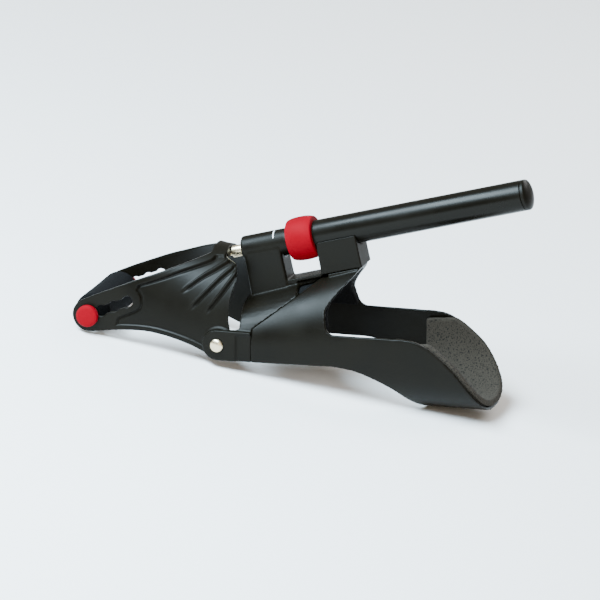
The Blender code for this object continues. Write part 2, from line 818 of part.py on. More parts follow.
def yoke_pin_place():
    """Side-view place of the pin that joins lever and rod: on the tube's axis line."""
    x = -YOKE_SHARE * HOOD_CROWN
    return x, TUBE_HEIGHT + x * math.tan(TUBE_ANGLE)


def slot_place(step):
    return (
        -LEVER_REACH + step * SLOT_PITCH * math.cos(SLOT_ANGLE),
        NOSE_RISE + step * SLOT_PITCH * math.sin(SLOT_ANGLE),
    )


def room_between_cheeks():
    """Half width between the cheeks at the slot's upper end, where they lean in most."""
    x, z = slot_place(SLOT_STEPS)
    share = (z + SLOT_LOBE) / hood_height(x)
    return HOOD_HALF_WIDTH * math.sqrt(1 - share**2) - HOOD_WALL


def build_hand_lever(parent):
    """Fork-shaped lever: cheeks beside the hand that close into a strap over the wrist."""
    front = -LEVER_REACH - NOSE_RADIUS - MARGIN
    rear = EYE_RADIUS + MARGIN
    stations = 11
    xs = [front + (rear - front) * i / (stations - 1) for i in range(stations)]
    lever = loft("hand_lever", [hood_section(x) for x in xs], False, black_plastic(), parent)
    thicken(lever, HOOD_WALL, 1.0)
    keep_inside(lever, plate("lever_outline_tool", lever_outline(), -WHOLE, WHOLE, None, parent))
    pin_x, pin_z = yoke_pin_place()
    inner = ROD_EYE_WIDTH / 2 + GAP
    for side, sign in (("near", -1), ("far", 1)):
        low, high = sorted((sign * inner, sign * (inner + LUG_WIDTH)))
        lug_outline = [
            (pin_x - YOKE_LENGTH / 2 + LUG_INSET, HOOD_CROWN - LUG_TOP),
            *arc((pin_x, pin_z), LUG_RADIUS, 180, 360, 10),
            (pin_x + YOKE_LENGTH / 2 - LUG_INSET, HOOD_CROWN - LUG_TOP),
        ]
        join(lever, plate(f"{side}_lug_tool", lug_outline, low, high, None, parent))
    reach = inner + LUG_WIDTH + GAP
    pin_hole = drum("pin_hole", ROD_PIN_RADIUS + GAP, -reach, reach, 16, parent, across=True)
    pin_hole.location = (pin_x, 0.0, pin_z)
    rivet_hole = drum("eye_holes", RIVET_RADIUS + GAP, -WHOLE, WHOLE, 16, parent, across=True)
    cut(lever, pin_hole, rivet_hole)
    for step in range(SLOT_STEPS + 1):
        lobe = drum(f"slot_lobe_{step}", SLOT_LOBE, -WHOLE, WHOLE, 18, parent, across=True)
        x, z = slot_place(step)
        lobe.location = (x, 0.0, z)
        cut(lever, lobe)
    start = slot_place(0)
    end = slot_place(SLOT_STEPS)
    clear = BAR_END_RADIUS + GAP
    rise = (-clear * math.sin(SLOT_ANGLE), clear * math.cos(SLOT_ANGLE))
    corridor = [
        (start[0] + rise[0], start[1] + rise[1]),
        (start[0] - rise[0], start[1] - rise[1]),
        (end[0] - rise[0], end[1] - rise[1]),
        (end[0] + rise[0], end[1] + rise[1]),
    ]
    cut(lever, plate("slot_corridor", corridor, -WHOLE, WHOLE, None, parent))
    return lever


def build_rivet(side, sign, parent):
    """Domed rivet through tab and cheek."""
    head = [
        (
            RIVET_HEAD_RADIUS * math.sin(math.radians(angle)),
            RIVET_HEAD_HEIGHT * math.cos(math.radians(angle)),
        )
        for angle in (0, 25, 45, 65, 80, 90)
    ]
    tail = HOOD_HALF_WIDTH - HOOD_WALL - ARM_HALF_WIDTH - GAP
    profile = [*head, (RIVET_RADIUS, 0.0), (RIVET_RADIUS, tail), (0.0, tail)]
    rivet = turned(f"{side}_pivot_rivet", profile, 20, nickel(), parent)
    rivet.rotation_euler = (-sign * math.pi / 2, 0.0, 0.0)
    rivet.location = (0.0, sign * (ARM_HALF_WIDTH + GAP), 0.0)
    return rivet


def build_spring_rod(parent):
    """Rod with an eye on the lever's pin, reaching back into the tube."""
    pin_x, pin_z = yoke_pin_place()
    rod = turned(
        "spring_rod",
        [(0.0, ROD_LENGTH), (ROD_RADIUS - ROD_CHAMFER, ROD_LENGTH),
         (ROD_RADIUS, ROD_LENGTH - ROD_CHAMFER), (ROD_RADIUS, 0.0), (0.0, 0.0)],
        24, nickel(), parent,
    )
    rod.location = (pin_x, 0.0, pin_z)
    rod.rotation_euler = (0.0, math.pi / 2 - TUBE_ANGLE, 0.0)
    eye = drum("rod_eye", ROD_EYE_RADIUS, -ROD_EYE_WIDTH / 2, ROD_EYE_WIDTH / 2, 24, parent, True)
    eye.location = (pin_x, 0.0, pin_z)
    hole = drum("rod_eye_hole", ROD_PIN_RADIUS + GAP, -WHOLE, WHOLE, 16, parent, across=True)
    hole.location = (pin_x, 0.0, pin_z)
    join(rod, eye)
    cut(rod, hole)
    return rod


def build_rod_collar(parent):
    """Chamfered collar on the rod, just behind its eye."""
    pin_x, pin_z = yoke_pin_place()
    end = COLLAR_START + COLLAR_LENGTH
    bore = ROD_RADIUS + GAP
    profile = [
        (bore, end),
        (COLLAR_RADIUS - COLLAR_CHAMFER, end),
        (COLLAR_RADIUS, end - COLLAR_CHAMFER),
        (COLLAR_RADIUS, COLLAR_START + COLLAR_CHAMFER),
        (COLLAR_RADIUS - COLLAR_CHAMFER, COLLAR_START),
        (bore, COLLAR_START),
    ]
    collar = turned("rod_collar", profile, 24, nickel(), parent)
    collar.location = (pin_x, 0.0, pin_z)
    collar.rotation_euler = (0.0, math.pi / 2 - TUBE_ANGLE, 0.0)
    return collar


def build_yoke_pin(parent):
    pin_x, pin_z = yoke_pin_place()
    half = ROD_EYE_WIDTH / 2 + 0.8 * LUG_WIDTH
    profile = [(0.0, half), (ROD_PIN_RADIUS, half), (ROD_PIN_RADIUS, -half), (0.0, -half)]
    pin = turned("yoke_pin", profile, 16, nickel(), parent)
    pin.location = (pin_x, 0.0, pin_z)
    pin.rotation_euler = (math.pi / 2, 0.0, 0.0)
    return pin


def across_at_slot(made):
    x, z = slot_place(0)
    made.location = (x, 0.0, z)
    made.rotation_euler = (math.pi / 2, 0.0, 0.0)


def build_grip(parent):
    """Bar across the lever's noses, its foam roll and the two red caps."""
    shoulder = room_between_cheeks() - 2 * GAP
    end = HOOD_HALF_WIDTH + GAP
    bar = turned(
        "grip_bar",
        [(0.0, end), (BAR_END_RADIUS, end), (BAR_END_RADIUS, shoulder), (BAR_RADIUS, shoulder),
         (BAR_RADIUS, -shoulder), (BAR_END_RADIUS, -shoulder), (BAR_END_RADIUS, -end), (0.0, -end)],
        24, nickel(), parent,
    )
    across_at_slot(bar)
    bore = BAR_RADIUS + GAP
    half = FOAM_HALF_LENGTH
    foam_side = arc((FOAM_RADIUS - FOAM_ROUNDING, half - FOAM_ROUNDING), FOAM_ROUNDING, 90, 0, 3)
    foam = turned(
        "grip_foam",
        [(bore, half), *foam_side, *[(r, -h) for r, h in reversed(foam_side)], (bore, -half)],
        28, dark_foam(), parent,
    )
    across_at_slot(foam)
    made = [bar, foam]
    for side, sign in (("near", -1), ("far", 1)):
        base = end + GAP
        dome = [
            (
                GRIP_CAP_RADIUS * share,
                base + GRIP_CAP_HEIGHT - GRIP_CAP_ROUNDING * share**6,
            )
            for share in (0.0, 0.45, 0.7, 0.88, 0.96, 1.0)
        ]
        cap = turned(
            f"{side}_grip_cap",
            [*dome, (GRIP_CAP_RADIUS, base), (0.0, base)],
            28, red_plastic(), parent,
        )
        x, z = slot_place(0)
        cap.location = (x, 0.0, z)
        cap.rotation_euler = (-sign * math.pi / 2, 0.0, 0.0)
        made.append(cap)
    return made


def standing_angle():
    """Angle that brings the foam roll and the cradle's heel down onto one level."""
    heel = Vector((CRADLE_FRONT_EDGE[-1][0] * ARM_LENGTH, -TROUGH_DEPTH))
    run = heel - Vector((-LEVER_REACH, NOSE_RISE))
    return -math.atan2(run.y, run.x) - math.asin(FOAM_RADIUS / run.length)


def settle(stand):
    """Moves the stand so that the object's box is centred on the origin and starts at Z = 0."""
    bpy.context.view_layer.update()
    graph = bpy.context.evaluated_depsgraph_get()
    low = Vector((math.inf,) * 3)
    high = -low
    for made in bpy.data.collections[PARTS].objects:
        if made.type != "MESH":
            continue
        seen = made.evaluated_get(graph)
        for vertex in seen.data.vertices:
            place = seen.matrix_world @ vertex.co
            low = Vector(map(min, low, place))
            high = Vector(map(max, high, place))
    stand.location = (-(low.x + high.x) / 2, -(low.y + high.y) / 2, -low.z)


def main():
    clear_scene()
    stand = bpy.data.objects.new("stand", None)
    bpy.data.collections[PARTS].objects.link(stand)
    stand.rotation_euler = (0.0, -standing_angle(), 0.0)
    build_front_arch(stand)
    build_arm_shell(stand)
    build_arch_pad(stand)
    build_cradle_pad(stand)
    build_spring_tube(stand)
    build_tube_end_cap(stand)
    build_adjust_ring(stand)
    build_hand_lever(stand)
    build_rivet("near", -1, stand)
    build_rivet("far", 1, stand)
    build_spring_rod(stand)
    build_rod_collar(stand)
    build_yoke_pin(stand)
    build_grip(stand)
    settle(stand)


main()
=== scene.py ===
"""Dresses the dynamic wrist orthosis: fine meshes, finishes, floor, light and camera.

Every piece is modelled in the arm's own frame, in metres: the origin is the middle of the wrist
pivot, X runs back along the forearm, the near side is -Y and Z points up. ArmPose then puts it
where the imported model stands.
"""

import logging
import math
from dataclasses import dataclass, field
from enum import Enum
from typing import Callable, Iterable, Sequence

import bmesh
import bpy
import numpy as np
from mathutils import Matrix, Vector

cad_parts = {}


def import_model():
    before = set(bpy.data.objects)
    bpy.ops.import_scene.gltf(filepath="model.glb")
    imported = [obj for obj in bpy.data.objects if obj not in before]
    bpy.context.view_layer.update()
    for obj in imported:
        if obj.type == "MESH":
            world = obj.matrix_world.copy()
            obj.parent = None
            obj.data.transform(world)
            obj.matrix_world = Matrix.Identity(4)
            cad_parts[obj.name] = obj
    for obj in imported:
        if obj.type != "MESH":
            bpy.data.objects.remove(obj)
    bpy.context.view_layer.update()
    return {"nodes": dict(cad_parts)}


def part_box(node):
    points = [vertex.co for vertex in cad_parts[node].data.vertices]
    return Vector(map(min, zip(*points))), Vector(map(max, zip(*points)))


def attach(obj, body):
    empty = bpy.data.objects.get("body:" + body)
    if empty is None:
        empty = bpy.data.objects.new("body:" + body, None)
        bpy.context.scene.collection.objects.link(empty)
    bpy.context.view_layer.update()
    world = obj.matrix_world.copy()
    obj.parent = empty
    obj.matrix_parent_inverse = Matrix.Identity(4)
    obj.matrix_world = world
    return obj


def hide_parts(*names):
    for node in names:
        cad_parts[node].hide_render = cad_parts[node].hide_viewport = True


MM = 0.001
GAP = 0.3 * MM  # between pieces that rest on or run in each other
MARGIN = 5.0 * MM  # how far a tool reaches past what it cuts
MERGE = 0.01 * MM  # vertices closer than this are one

# Sizes that more than one piece follows

ARM_LENGTH = 220.0 * MM  # wrist pivot to the rear tip of the cradle
ARM_HALF_WIDTH = 54.0 * MM
TROUGH_DEPTH = 48.0 * MM  # cradle's bottom below the pivot
HEEL_SHARE = 0.759  # of ARM_LENGTH, where the cradle's bottom starts
LEVER_REACH = 110.2 * MM  # wrist pivot to the slot's front stop
NOSE_RISE = 15.4 * MM  # the same stop above the pivot
CHEEK_HALF_WIDTH = 49.0 * MM
FOAM_RADIUS = 15.0 * MM  # of the grip's foam roll
RIVET_RADIUS = 2.0 * MM
ROD_EYE_WIDTH = 7.4 * MM
BAR_END_RADIUS = 3.0 * MM  # of the grip bar in the slots
ROUND_SIDES = 48  # facets round a tool that makes a hole
CREASE = 35.0  # degrees past which an edge stays sharp
SOFT_CREASE = 80.0  # the same on pieces whose edges are rounded by smoothing

Point = tuple[float, float]
Triple = tuple[float, float, float]
Warp = Callable[[float, float], Vector]

log = logging.getLogger("orthosis")


class Side(Enum):
    """Near is the side that the camera sees."""

    NEAR = -1
    FAR = 1


class Cut(Enum):
    """What a tool does to the block it meets."""

    REMOVE = "DIFFERENCE"
    ADD = "UNION"
    KEEP = "INTERSECT"


# Places


@dataclass(frozen=True)
class ArmPose:
    """How the arm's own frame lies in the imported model's frame.

    Attributes:
        heel: Lowest point of the cradle's front edge, seen from the side.
        roll: Middle of the foam roll, seen from the side.
        roll_radius: The foam roll's radius, on which the part stands in front.
    """

    heel: Point = (HEEL_SHARE * ARM_LENGTH, -TROUGH_DEPTH)
    roll: Point = (-LEVER_REACH, NOSE_RISE)
    roll_radius: float = FOAM_RADIUS

    def tilt(self) -> float:
        """Angle that brings the foam roll and the heel onto the floor."""
        run = Vector(self.heel) - Vector(self.roll)
        return -math.atan2(run.y, run.x) - math.asin(self.roll_radius / run.length)

    def pivot(self) -> Vector:
        """Finds the middle of the wrist pivot.

        Returns:
            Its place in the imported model's frame.
        """
        low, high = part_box("near_pivot_rivet")
        middle = (low + high) / 2
        return Vector((middle.x, 0.0, middle.z))

    def matrix(self) -> Matrix:
        """From the arm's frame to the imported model's frame."""
        return Matrix.Translation(self.pivot()) @ Matrix.Rotation(-self.tilt(), 4, "Y")


@dataclass(frozen=True)
class TubeAxis:
    """The spring tube's axis, which climbs towards the elbow."""

    angle: float = math.radians(15.04)
    height: float = 65.0 * MM
    front: float = 7.1 * MM

    def point(self, s: float, n: float) -> Point:
        """Gives a place in the side view.

        Args:
            s: Distance along the tube from the sleeve's front face.
            n: Height above the axis.

        Returns:
            The place as (x, z) in the arm's frame.
        """
        x = self.front + s * math.cos(self.angle) - n * math.sin(self.angle)
        front_z = self.height + self.front * math.tan(self.angle)
        return x, front_z + s * math.sin(self.angle) + n * math.cos(self.angle)

    def matrix(self, s: float = 0.0) -> Matrix:
        """Puts a shape that is turned about Z on the axis.

        Args:
            s: Where on the axis the shape's zero lies.

        Returns:
            The matrix for it.
        """
        x, z = self.point(s, 0.0)
        turn = Matrix.Rotation(math.pi / 2 - self.angle, 4, "Y")
        return Matrix.Translation((x, 0.0, z)) @ turn


def across(place: Point, side: Side, y: float = 0.0) -> Matrix:
    """Puts a shape that is turned about Z across the arm, its Z pointing outwards.

    Args:
        place: Side-view place (x, z) of the shape's axis.
        side: The side that Z points to.
        y: Distance of the shape's zero from the middle plane.

    Returns:
        The matrix in the arm's frame.
    """
    turn = Matrix.Rotation(-side.value * math.pi / 2, 4, "X")
    return Matrix.Translation((place[0], side.value * y, place[1])) @ turn


def smooth_path(points: Sequence[Point], steps: int = 8) -> list[Point]:
    """Draws a smooth curve through side-view points.

    Args:
        points: The places that it goes through.
        steps: Points on each stretch between two of them.

    Returns:
        The curve's points, ends included.
    """
    ends = [points[0], *points, points[-1]]
    path = []
    for a, b, c, d in zip(ends, ends[1:], ends[2:], ends[3:]):
        for step in range(steps):
            t = step / steps
            x, z = (
                0.5 * (2 * q + (r - p) * t + (2 * p - 5 * q + 4 * r - s) * t**2)
                + 0.5 * (3 * q - p - 3 * r + s) * t**3
                for p, q, r, s in zip(a, b, c, d)
            )
            path.append((x, z))
    return [*path, (points[-1][0], points[-1][1])]


def scaled(table: Iterable[Point], x_size: float, z_size: float) -> list[Point]:
    """Turns a table of shares into side-view places."""
    return [(x * x_size, z * z_size) for x, z in table]


def arc(centre: Point, radius: float, start: float, end: float, steps: int) -> list[Point]:
    """Points on an arc, its angles in degrees."""
    turns = [math.radians(start + (end - start) * i / steps) for i in range(steps + 1)]
    return [(centre[0] + radius * math.cos(a), centre[1] + radius * math.sin(a)) for a in turns]


def rounded_corner(before: Point, corner: Point, after: Point, radius: float) -> list[Point]:
    """Replaces a profile's corner with a short arc.

    Args:
        before: The profile's point before the corner.
        corner: The corner itself.
        after: The profile's point after it.
        radius: How far from the corner the rounding starts.

    Returns:
        Five points that lead round the corner.
    """
    here = Vector(corner)
    into = (Vector(before) - here).normalized() * radius
    out = (Vector(after) - here).normalized() * radius
    points = []
    for i in range(5):
        t = i / 4
        place = here + into * (1 - t) ** 2 + out * t**2
        points.append((place.x, place.y))
    return points


def rounded_profile(points: Sequence[Point], radius: float) -> list[Point]:
    """Rounds every inner corner of an open profile.

    Args:
        points: The profile.
        radius: How far from a corner its rounding starts, less where the sides are short.

    Returns:
        The profile with five points in each corner's place.
    """
    path = [points[0]]
    for before, corner, after in zip(points, points[1:], points[2:]):
        room = 0.45 * min((Vector(corner) - Vector(p)).length for p in (before, after))
        path += rounded_corner(before, corner, after, min(radius, room))
    return [*path, points[-1]]


# Meshes


class Block:
    def __init__(self, name: str, cage: bmesh.types.BMesh) -> None:
        """Keeps the cage as a mesh object.

        Args:
            name: The piece's name.
            cage: Its mesh, which is freed here.
        """
        mesh = bpy.data.meshes.new(name)
        cage.to_mesh(mesh)
        cage.free()
        self.item = bpy.data.objects.new(name, mesh)
        bpy.context.scene.collection.objects.link(self.item)

    def bake(self) -> None:
        """Replaces the mesh with what its modifiers make of it."""
        bpy.context.view_layer.update()
        seen = self.item.evaluated_get(bpy.context.evaluated_depsgraph_get())
        mesh = bpy.data.meshes.new_from_object(seen)
        self.item.modifiers.clear()
        self.item.data = mesh

    def meet(self, cut: Cut, *tools: "Block") -> None:
        """Lets each tool remove from, add to or trim the block, and uses the tool up.

        Args:
            cut: What the tools do.
            *tools: Blocks that are gone afterwards.
        """
        for tool in tools:
            step = self.item.modifiers.new(tool.item.name, "BOOLEAN")
            step.operation = cut.value
            step.solver = "EXACT"
            step.object = tool.item
            self.bake()
            bpy.data.objects.remove(tool.item, do_unlink=True)

    def wall(self, thickness: float) -> None:
        """Gives an outward-facing sheet its wall, inwards.

        Args:
            thickness: The wall's thickness.
        """
        step = self.item.modifiers.new("wall", "SOLIDIFY")
        step.thickness = thickness
        step.offset = -1.0
        step.use_even_offset = True
        self.bake()

    def soften(self, voxel: float, rounds: int) -> None:
        """Remeshes a piece evenly and rounds its edges as a mould does.

        Args:
            voxel: The remesh's cell, in metres.
            rounds: How often its vertices are smoothed.
        """
        step = self.item.modifiers.new("remesh", "REMESH")
        step.mode = "VOXEL"
        step.voxel_size = voxel
        step.use_smooth_shade = True
        smooth = self.item.modifiers.new("smooth", "SMOOTH")
        smooth.iterations = rounds
        smooth.factor = 0.5
        self.bake()

    def places(self) -> np.ndarray:
        """Reads where the vertices are.

        Returns:
            An array with a row for each vertex.
        """
        count = len(self.item.data.vertices)
        flat = np.zeros(count * 3, np.float32)
        self.item.data.vertices.foreach_get("co", flat)
        return flat.reshape(count, 3).astype(float)

    def move_to(self, places: np.ndarray) -> None:
        """Puts the vertices at new places.

        Args:
            places: An array with a row for each vertex.
        """
        flat = places.astype(np.float32).ravel()
        self.item.data.vertices.foreach_set("co", flat)
        self.item.data.update()

    def finish(
        self,
        pose: Matrix,
        finish: "Finish",
        body: str,
        nodes: Sequence[str] = (),
        crease: float = CREASE,
    ) -> bpy.types.Object:
        """Places, shades and dresses the block as a piece of the part.

        Args:
            pose: From the arm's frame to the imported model's frame.
            finish: The finish it wears.
            body: The body it moves with.
            nodes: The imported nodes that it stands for.
            crease: Angle in degrees past which an edge stays sharp.

        Returns:
            The finished object.
        """
        mesh = self.item.data
        cage = bmesh.new()
        cage.from_mesh(mesh)
        bmesh.ops.remove_doubles(cage, verts=cage.verts, dist=0.2 * MERGE)
        bmesh.ops.recalc_face_normals(cage, faces=cage.faces)
        for face in cage.faces:
            face.smooth = True
        for edge in cage.edges:
            edge.smooth = len(edge.link_faces) != 2 or edge.calc_face_angle() < math.radians(crease)
        bmesh.ops.transform(cage, matrix=pose, verts=cage.verts)
        cage.to_mesh(mesh)
        cage.free()
        mesh.materials.clear()
        mesh.materials.append(finish.material())
        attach(self.item, body)
        if nodes:
            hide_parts(*nodes)
        log.info("%s: %d faces", self.item.name, len(mesh.polygons))
        return self.item


def turned(name: str, profile: Sequence[Point], steps: int, place: Matrix) -> Block:
    """Spins a profile about Z.

    Args:
        name: The piece's name.
        profile: (radius, height) points. It is closed where it leaves the axis.
        steps: How many facets go round.
        place: Where the turned shape goes in the arm's frame.

    Returns:
        The block.
    """
    cage = bmesh.new()
    points = [cage.verts.new((radius, 0.0, height)) for radius, height in profile]
    for first, second in zip(points, points[1:]):
        cage.edges.new((first, second))
    if profile[0][0] > 0:
        cage.edges.new((points[-1], points[0]))
    bmesh.ops.spin(
        cage,
        geom=[*cage.verts, *cage.edges],
        cent=(0.0, 0.0, 0.0),
        axis=(0.0, 0.0, 1.0),
        angle=2 * math.pi,
        steps=steps,
        use_merge=True,
        use_normal_flip=False,
    )
    bmesh.ops.remove_doubles(cage, verts=cage.verts, dist=MERGE)
    bmesh.ops.recalc_face_normals(cage, faces=cage.faces)
    bmesh.ops.transform(cage, matrix=place, verts=cage.verts)
    return Block(name, cage)


def prism(name: str, outline: Sequence[Point], y_low: float, y_high: float) -> Block:
    """A side-view outline with thickness across the arm.

    Args:
        name: The block's name.
        outline: Its (x, z) points.
        y_low: Lower limit across the arm.
        y_high: Upper limit across the arm.

    Returns:
        The block.
    """
    cage = bmesh.new()
    verts = [cage.verts.new((x, y_low, z)) for x, z in outline]
    edges = [cage.edges.new(pair) for pair in zip(verts, [*verts[1:], verts[0]])]
    face = bmesh.ops.contextual_create(cage, geom=edges)["faces"][0]
    grown = bmesh.ops.extrude_face_region(cage, geom=[face])["geom"]
    moved = [item for item in grown if isinstance(item, bmesh.types.BMVert)]
    bmesh.ops.translate(cage, verts=moved, vec=(0.0, y_high - y_low, 0.0))
    bmesh.ops.recalc_face_normals(cage, faces=cage.faces)
    return Block(name, cage)


def drum(name: str, radius: float, half_length: float, place: Point) -> Block:
    """A round tool across the arm.

    Args:
        name: The block's name.
        radius: Its radius.
        half_length: How far it reaches from the middle plane.
        place: Side-view place (x, z) of its axis.

    Returns:
        The block.
    """
    cage = bmesh.new()
    bmesh.ops.create_cone(
        cage,
        cap_ends=True,
        segments=ROUND_SIDES,
        radius1=radius,
        radius2=radius,
        depth=2 * half_length,
    )
    bmesh.ops.transform(cage, matrix=across(place, Side.NEAR), verts=cage.verts)
    return Block(name, cage)


def sheet(name: str, columns: int, rows: int, warp: Warp) -> Block:
    """Bends a flat grid into a sheet that faces away from the arm's middle.

    Args:
        name: The block's name.
        columns: Steps along the first share.
        rows: Steps along the second share.
        warp: Gives each place from its two shares of 0 to 1.

    Returns:
        The block.
    """
    cage = bmesh.new()
    bmesh.ops.create_grid(cage, x_segments=columns, y_segments=rows, size=0.5)
    for vert in cage.verts:
        vert.co = warp(vert.co.x + 0.5, vert.co.y + 0.5)
    bmesh.ops.remove_doubles(cage, verts=cage.verts, dist=MERGE)
    cage.normal_update()
    outward = sum(
        face.normal.y * face.calc_center_median().y * face.calc_area() for face in cage.faces
    )
    if outward < 0:
        bmesh.ops.reverse_faces(cage, faces=cage.faces)
    return Block(name, cage)


def distance(
    places: np.ndarray, path: Sequence[Point]
) -> tuple[np.ndarray, np.ndarray, np.ndarray]:
    """Measures side-view places against a path.

    Args:
        places: Rows of (x, z).
        path: The path's points.

    Returns:
        Each place's distance, its side (positive to the right of the path's run) and how far
        along the path it is, from 0 to 1.
    """
    line = np.array(path)
    best = np.full(len(places), np.inf)
    side = np.zeros(len(places))
    share = np.zeros(len(places))
    lengths = np.linalg.norm(np.diff(line, axis=0), axis=1)
    starts = np.concatenate([[0.0], np.cumsum(lengths)])
    for start, end, length, run in zip(line, line[1:], lengths, starts):
        along = (end - start) / length
        offset = places - start
        t = np.clip(offset @ along, 0.0, length)
        away = offset - t[:, None] * along
        gap = np.linalg.norm(away, axis=1)
        nearer = gap < best
        best = np.where(nearer, gap, best)
        cross = offset[:, 0] * along[1] - offset[:, 1] * along[0]
        side = np.where(nearer, np.sign(cross), side)
        share = np.where(nearer, (run + t) / starts[-1], share)
    return best, side, share


def ridge(away: np.ndarray, width: float) -> np.ndarray:
    """Is 1 on a line and falls to 0 within about two widths of it."""
    return np.exp(-((away / width) ** 2))


def ease(value: np.ndarray) -> np.ndarray:
    """Goes smoothly from 0 to 1 as value does."""
    t = np.clip(value, 0.0, 1.0)
    return t * t * (3 - 2 * t)


# Finishes

PATCH_SCALE = 28.0  # slow patches of more and less shine, each metre
PATCH_RANGE = (0.35, 0.65)
GRAIN_RELIEF = 0.2 * MM
STROKE_ANGLE = math.radians(-25)
STROKE_STRETCH = (30.0, 400.0, 900.0)
STROKE_RANGE = (0.62, 0.74)
WORN_SCALE = 45.0  # patches where strokes show, each metre
WORN_RANGE = (0.52, 0.66)
CELL_RELIEF = 0.4 * MM
PIT_RANGE = (0.05, 0.45)
SPECK_SCALE = 900.0
SPECK_RANGE = (0.56, 0.66)
FULL_RANGE = (0.0, 1.0)


class NodeSheet:
    """Short calls for building a node tree."""

    def __init__(self, tree: bpy.types.NodeTree) -> None:
        """Keeps the tree that nodes are added to."""
        self.tree = tree

    def add(self, kind: str, **values: object) -> bpy.types.Node:
        """Adds a node.

        Args:
            kind: The node's type.
            **values: Its properties.

        Returns:
            The node.
        """
        node = self.tree.nodes.new(kind)
        for name, value in values.items():
            setattr(node, name, value)
        return node

    def link(self, source: bpy.types.NodeSocket, target: bpy.types.NodeSocket) -> None:
        """Joins two sockets."""
        self.tree.links.new(source, target)

    def noise(self, vector: bpy.types.NodeSocket, scale: float, detail: float) -> bpy.types.Node:
        """Adds a noise texture.

        Args:
            vector: The places that it reads.
            scale: Its scale, in waves per metre.
            detail: How many finer layers it has.

        Returns:
            The node.
        """
        node = self.add("ShaderNodeTexNoise")
        node.inputs["Scale"].default_value = scale
        node.inputs["Detail"].default_value = detail
        self.link(vector, node.inputs["Vector"])
        return node

    def ranged(
        self, value: bpy.types.NodeSocket, source: Point, target: Point
    ) -> bpy.types.NodeSocket:
        """Maps a value from one range to another.

        Args:
            value: The socket that gives it.
            source: The range that it comes from.
            target: The range that it goes to.

        Returns:
            The socket with the mapped value.
        """
        node = self.add("ShaderNodeMapRange")
        node.inputs["From Min"].default_value = source[0]
        node.inputs["From Max"].default_value = source[1]
        node.inputs["To Min"].default_value = target[0]
        node.inputs["To Max"].default_value = target[1]
        self.link(value, node.inputs["Value"])
        return node.outputs["Result"]

    def mixed(
        self, share: bpy.types.NodeSocket, low: Triple, high: Triple
    ) -> bpy.types.NodeSocket:
        """Mixes two colours.

        Args:
            share: The socket that gives the second one's share.
            low: The colour at 0.
            high: The colour at 1.

        Returns:
            The socket with the mixed colour.
        """
        node = self.add("ShaderNodeMix", data_type="RGBA")
        node.inputs["A"].default_value = (*low, 1.0)
        node.inputs["B"].default_value = (*high, 1.0)
        self.link(share, node.inputs["Factor"])
        return node.outputs["Result"]


def new_group(
    name: str, inputs: Sequence[str], outputs: Sequence[tuple[str, str]]
) -> tuple[bpy.types.NodeTree, NodeSheet, bpy.types.Node, bpy.types.Node]:
    """Starts a shader node group with named sockets.

    Args:
        name: The group's name.
        inputs: Names of its number inputs.
        outputs: Names and socket types of its outputs.

    Returns:
        The tree, a sheet to build on, its input node and its output node.
    """
    tree = bpy.data.node_groups.new(name, "ShaderNodeTree")
    for title in inputs:
        tree.interface.new_socket(name=title, in_out="INPUT", socket_type="NodeSocketFloat")
    for title, kind in outputs:
        tree.interface.new_socket(name=title, in_out="OUTPUT", socket_type=kind)
    nodes = NodeSheet(tree)
    return tree, nodes, nodes.add("NodeGroupInput"), nodes.add("NodeGroupOutput")


def grain_group() -> bpy.types.NodeTree:
    """Fine moulded or sprayed grain, with slow patches of more and less shine.

    Returns:
        A group with inputs Scale and Depth, and outputs Patches and Normal.
    """
    name = "moulded_grain"
    if name in bpy.data.node_groups:
        return bpy.data.node_groups[name]
    tree, nodes, source, target = new_group(
        name,
        ("Scale", "Depth"),
        (("Patches", "NodeSocketFloat"), ("Normal", "NodeSocketVector")),
    )
    place = nodes.add("ShaderNodeTexCoord").outputs["Object"]
    slow = nodes.noise(place, PATCH_SCALE, 4.0)
    fine = nodes.noise(place, 1.0, 2.0)
    nodes.link(source.outputs["Scale"], fine.inputs["Scale"])
    bump = nodes.add("ShaderNodeBump")
    bump.inputs["Distance"].default_value = GRAIN_RELIEF
    nodes.link(source.outputs["Depth"], bump.inputs["Strength"])
    nodes.link(fine.outputs["Fac"], bump.inputs["Height"])
    nodes.link(slow.outputs["Fac"], target.inputs["Patches"])
    nodes.link(bump.outputs["Normal"], target.inputs["Normal"])
    return tree


def scuff_group() -> bpy.types.NodeTree:
    """Faint handling marks: long fine strokes broken up by patches.

    Returns:
        A group with input Amount and output Scuffs.
    """
    name = "handling_scuffs"
    if name in bpy.data.node_groups:
        return bpy.data.node_groups[name]
    tree, nodes, source, target = new_group(name, ("Amount",), (("Scuffs", "NodeSocketFloat"),))
    place = nodes.add("ShaderNodeTexCoord").outputs["Object"]
    stretch = nodes.add("ShaderNodeMapping")
    stretch.inputs["Rotation"].default_value = (0.0, STROKE_ANGLE, 0.0)
    stretch.inputs["Scale"].default_value = STROKE_STRETCH
    nodes.link(place, stretch.inputs["Vector"])
    strokes = nodes.noise(stretch.outputs["Vector"], 1.0, 3.0)
    patches = nodes.noise(place, WORN_SCALE, 2.0)
    thin = nodes.ranged(strokes.outputs["Fac"], STROKE_RANGE, FULL_RANGE)
    kept = nodes.ranged(patches.outputs["Fac"], WORN_RANGE, FULL_RANGE)
    both = nodes.add("ShaderNodeMath", operation="MULTIPLY")
    nodes.link(thin, both.inputs[0])
    nodes.link(kept, both.inputs[1])
    scaled_down = nodes.add("ShaderNodeMath", operation="MULTIPLY")
    nodes.link(both.outputs["Value"], scaled_down.inputs[0])
    nodes.link(source.outputs["Amount"], scaled_down.inputs[1])
    nodes.link(scaled_down.outputs["Value"], target.inputs["Scuffs"])
    return tree


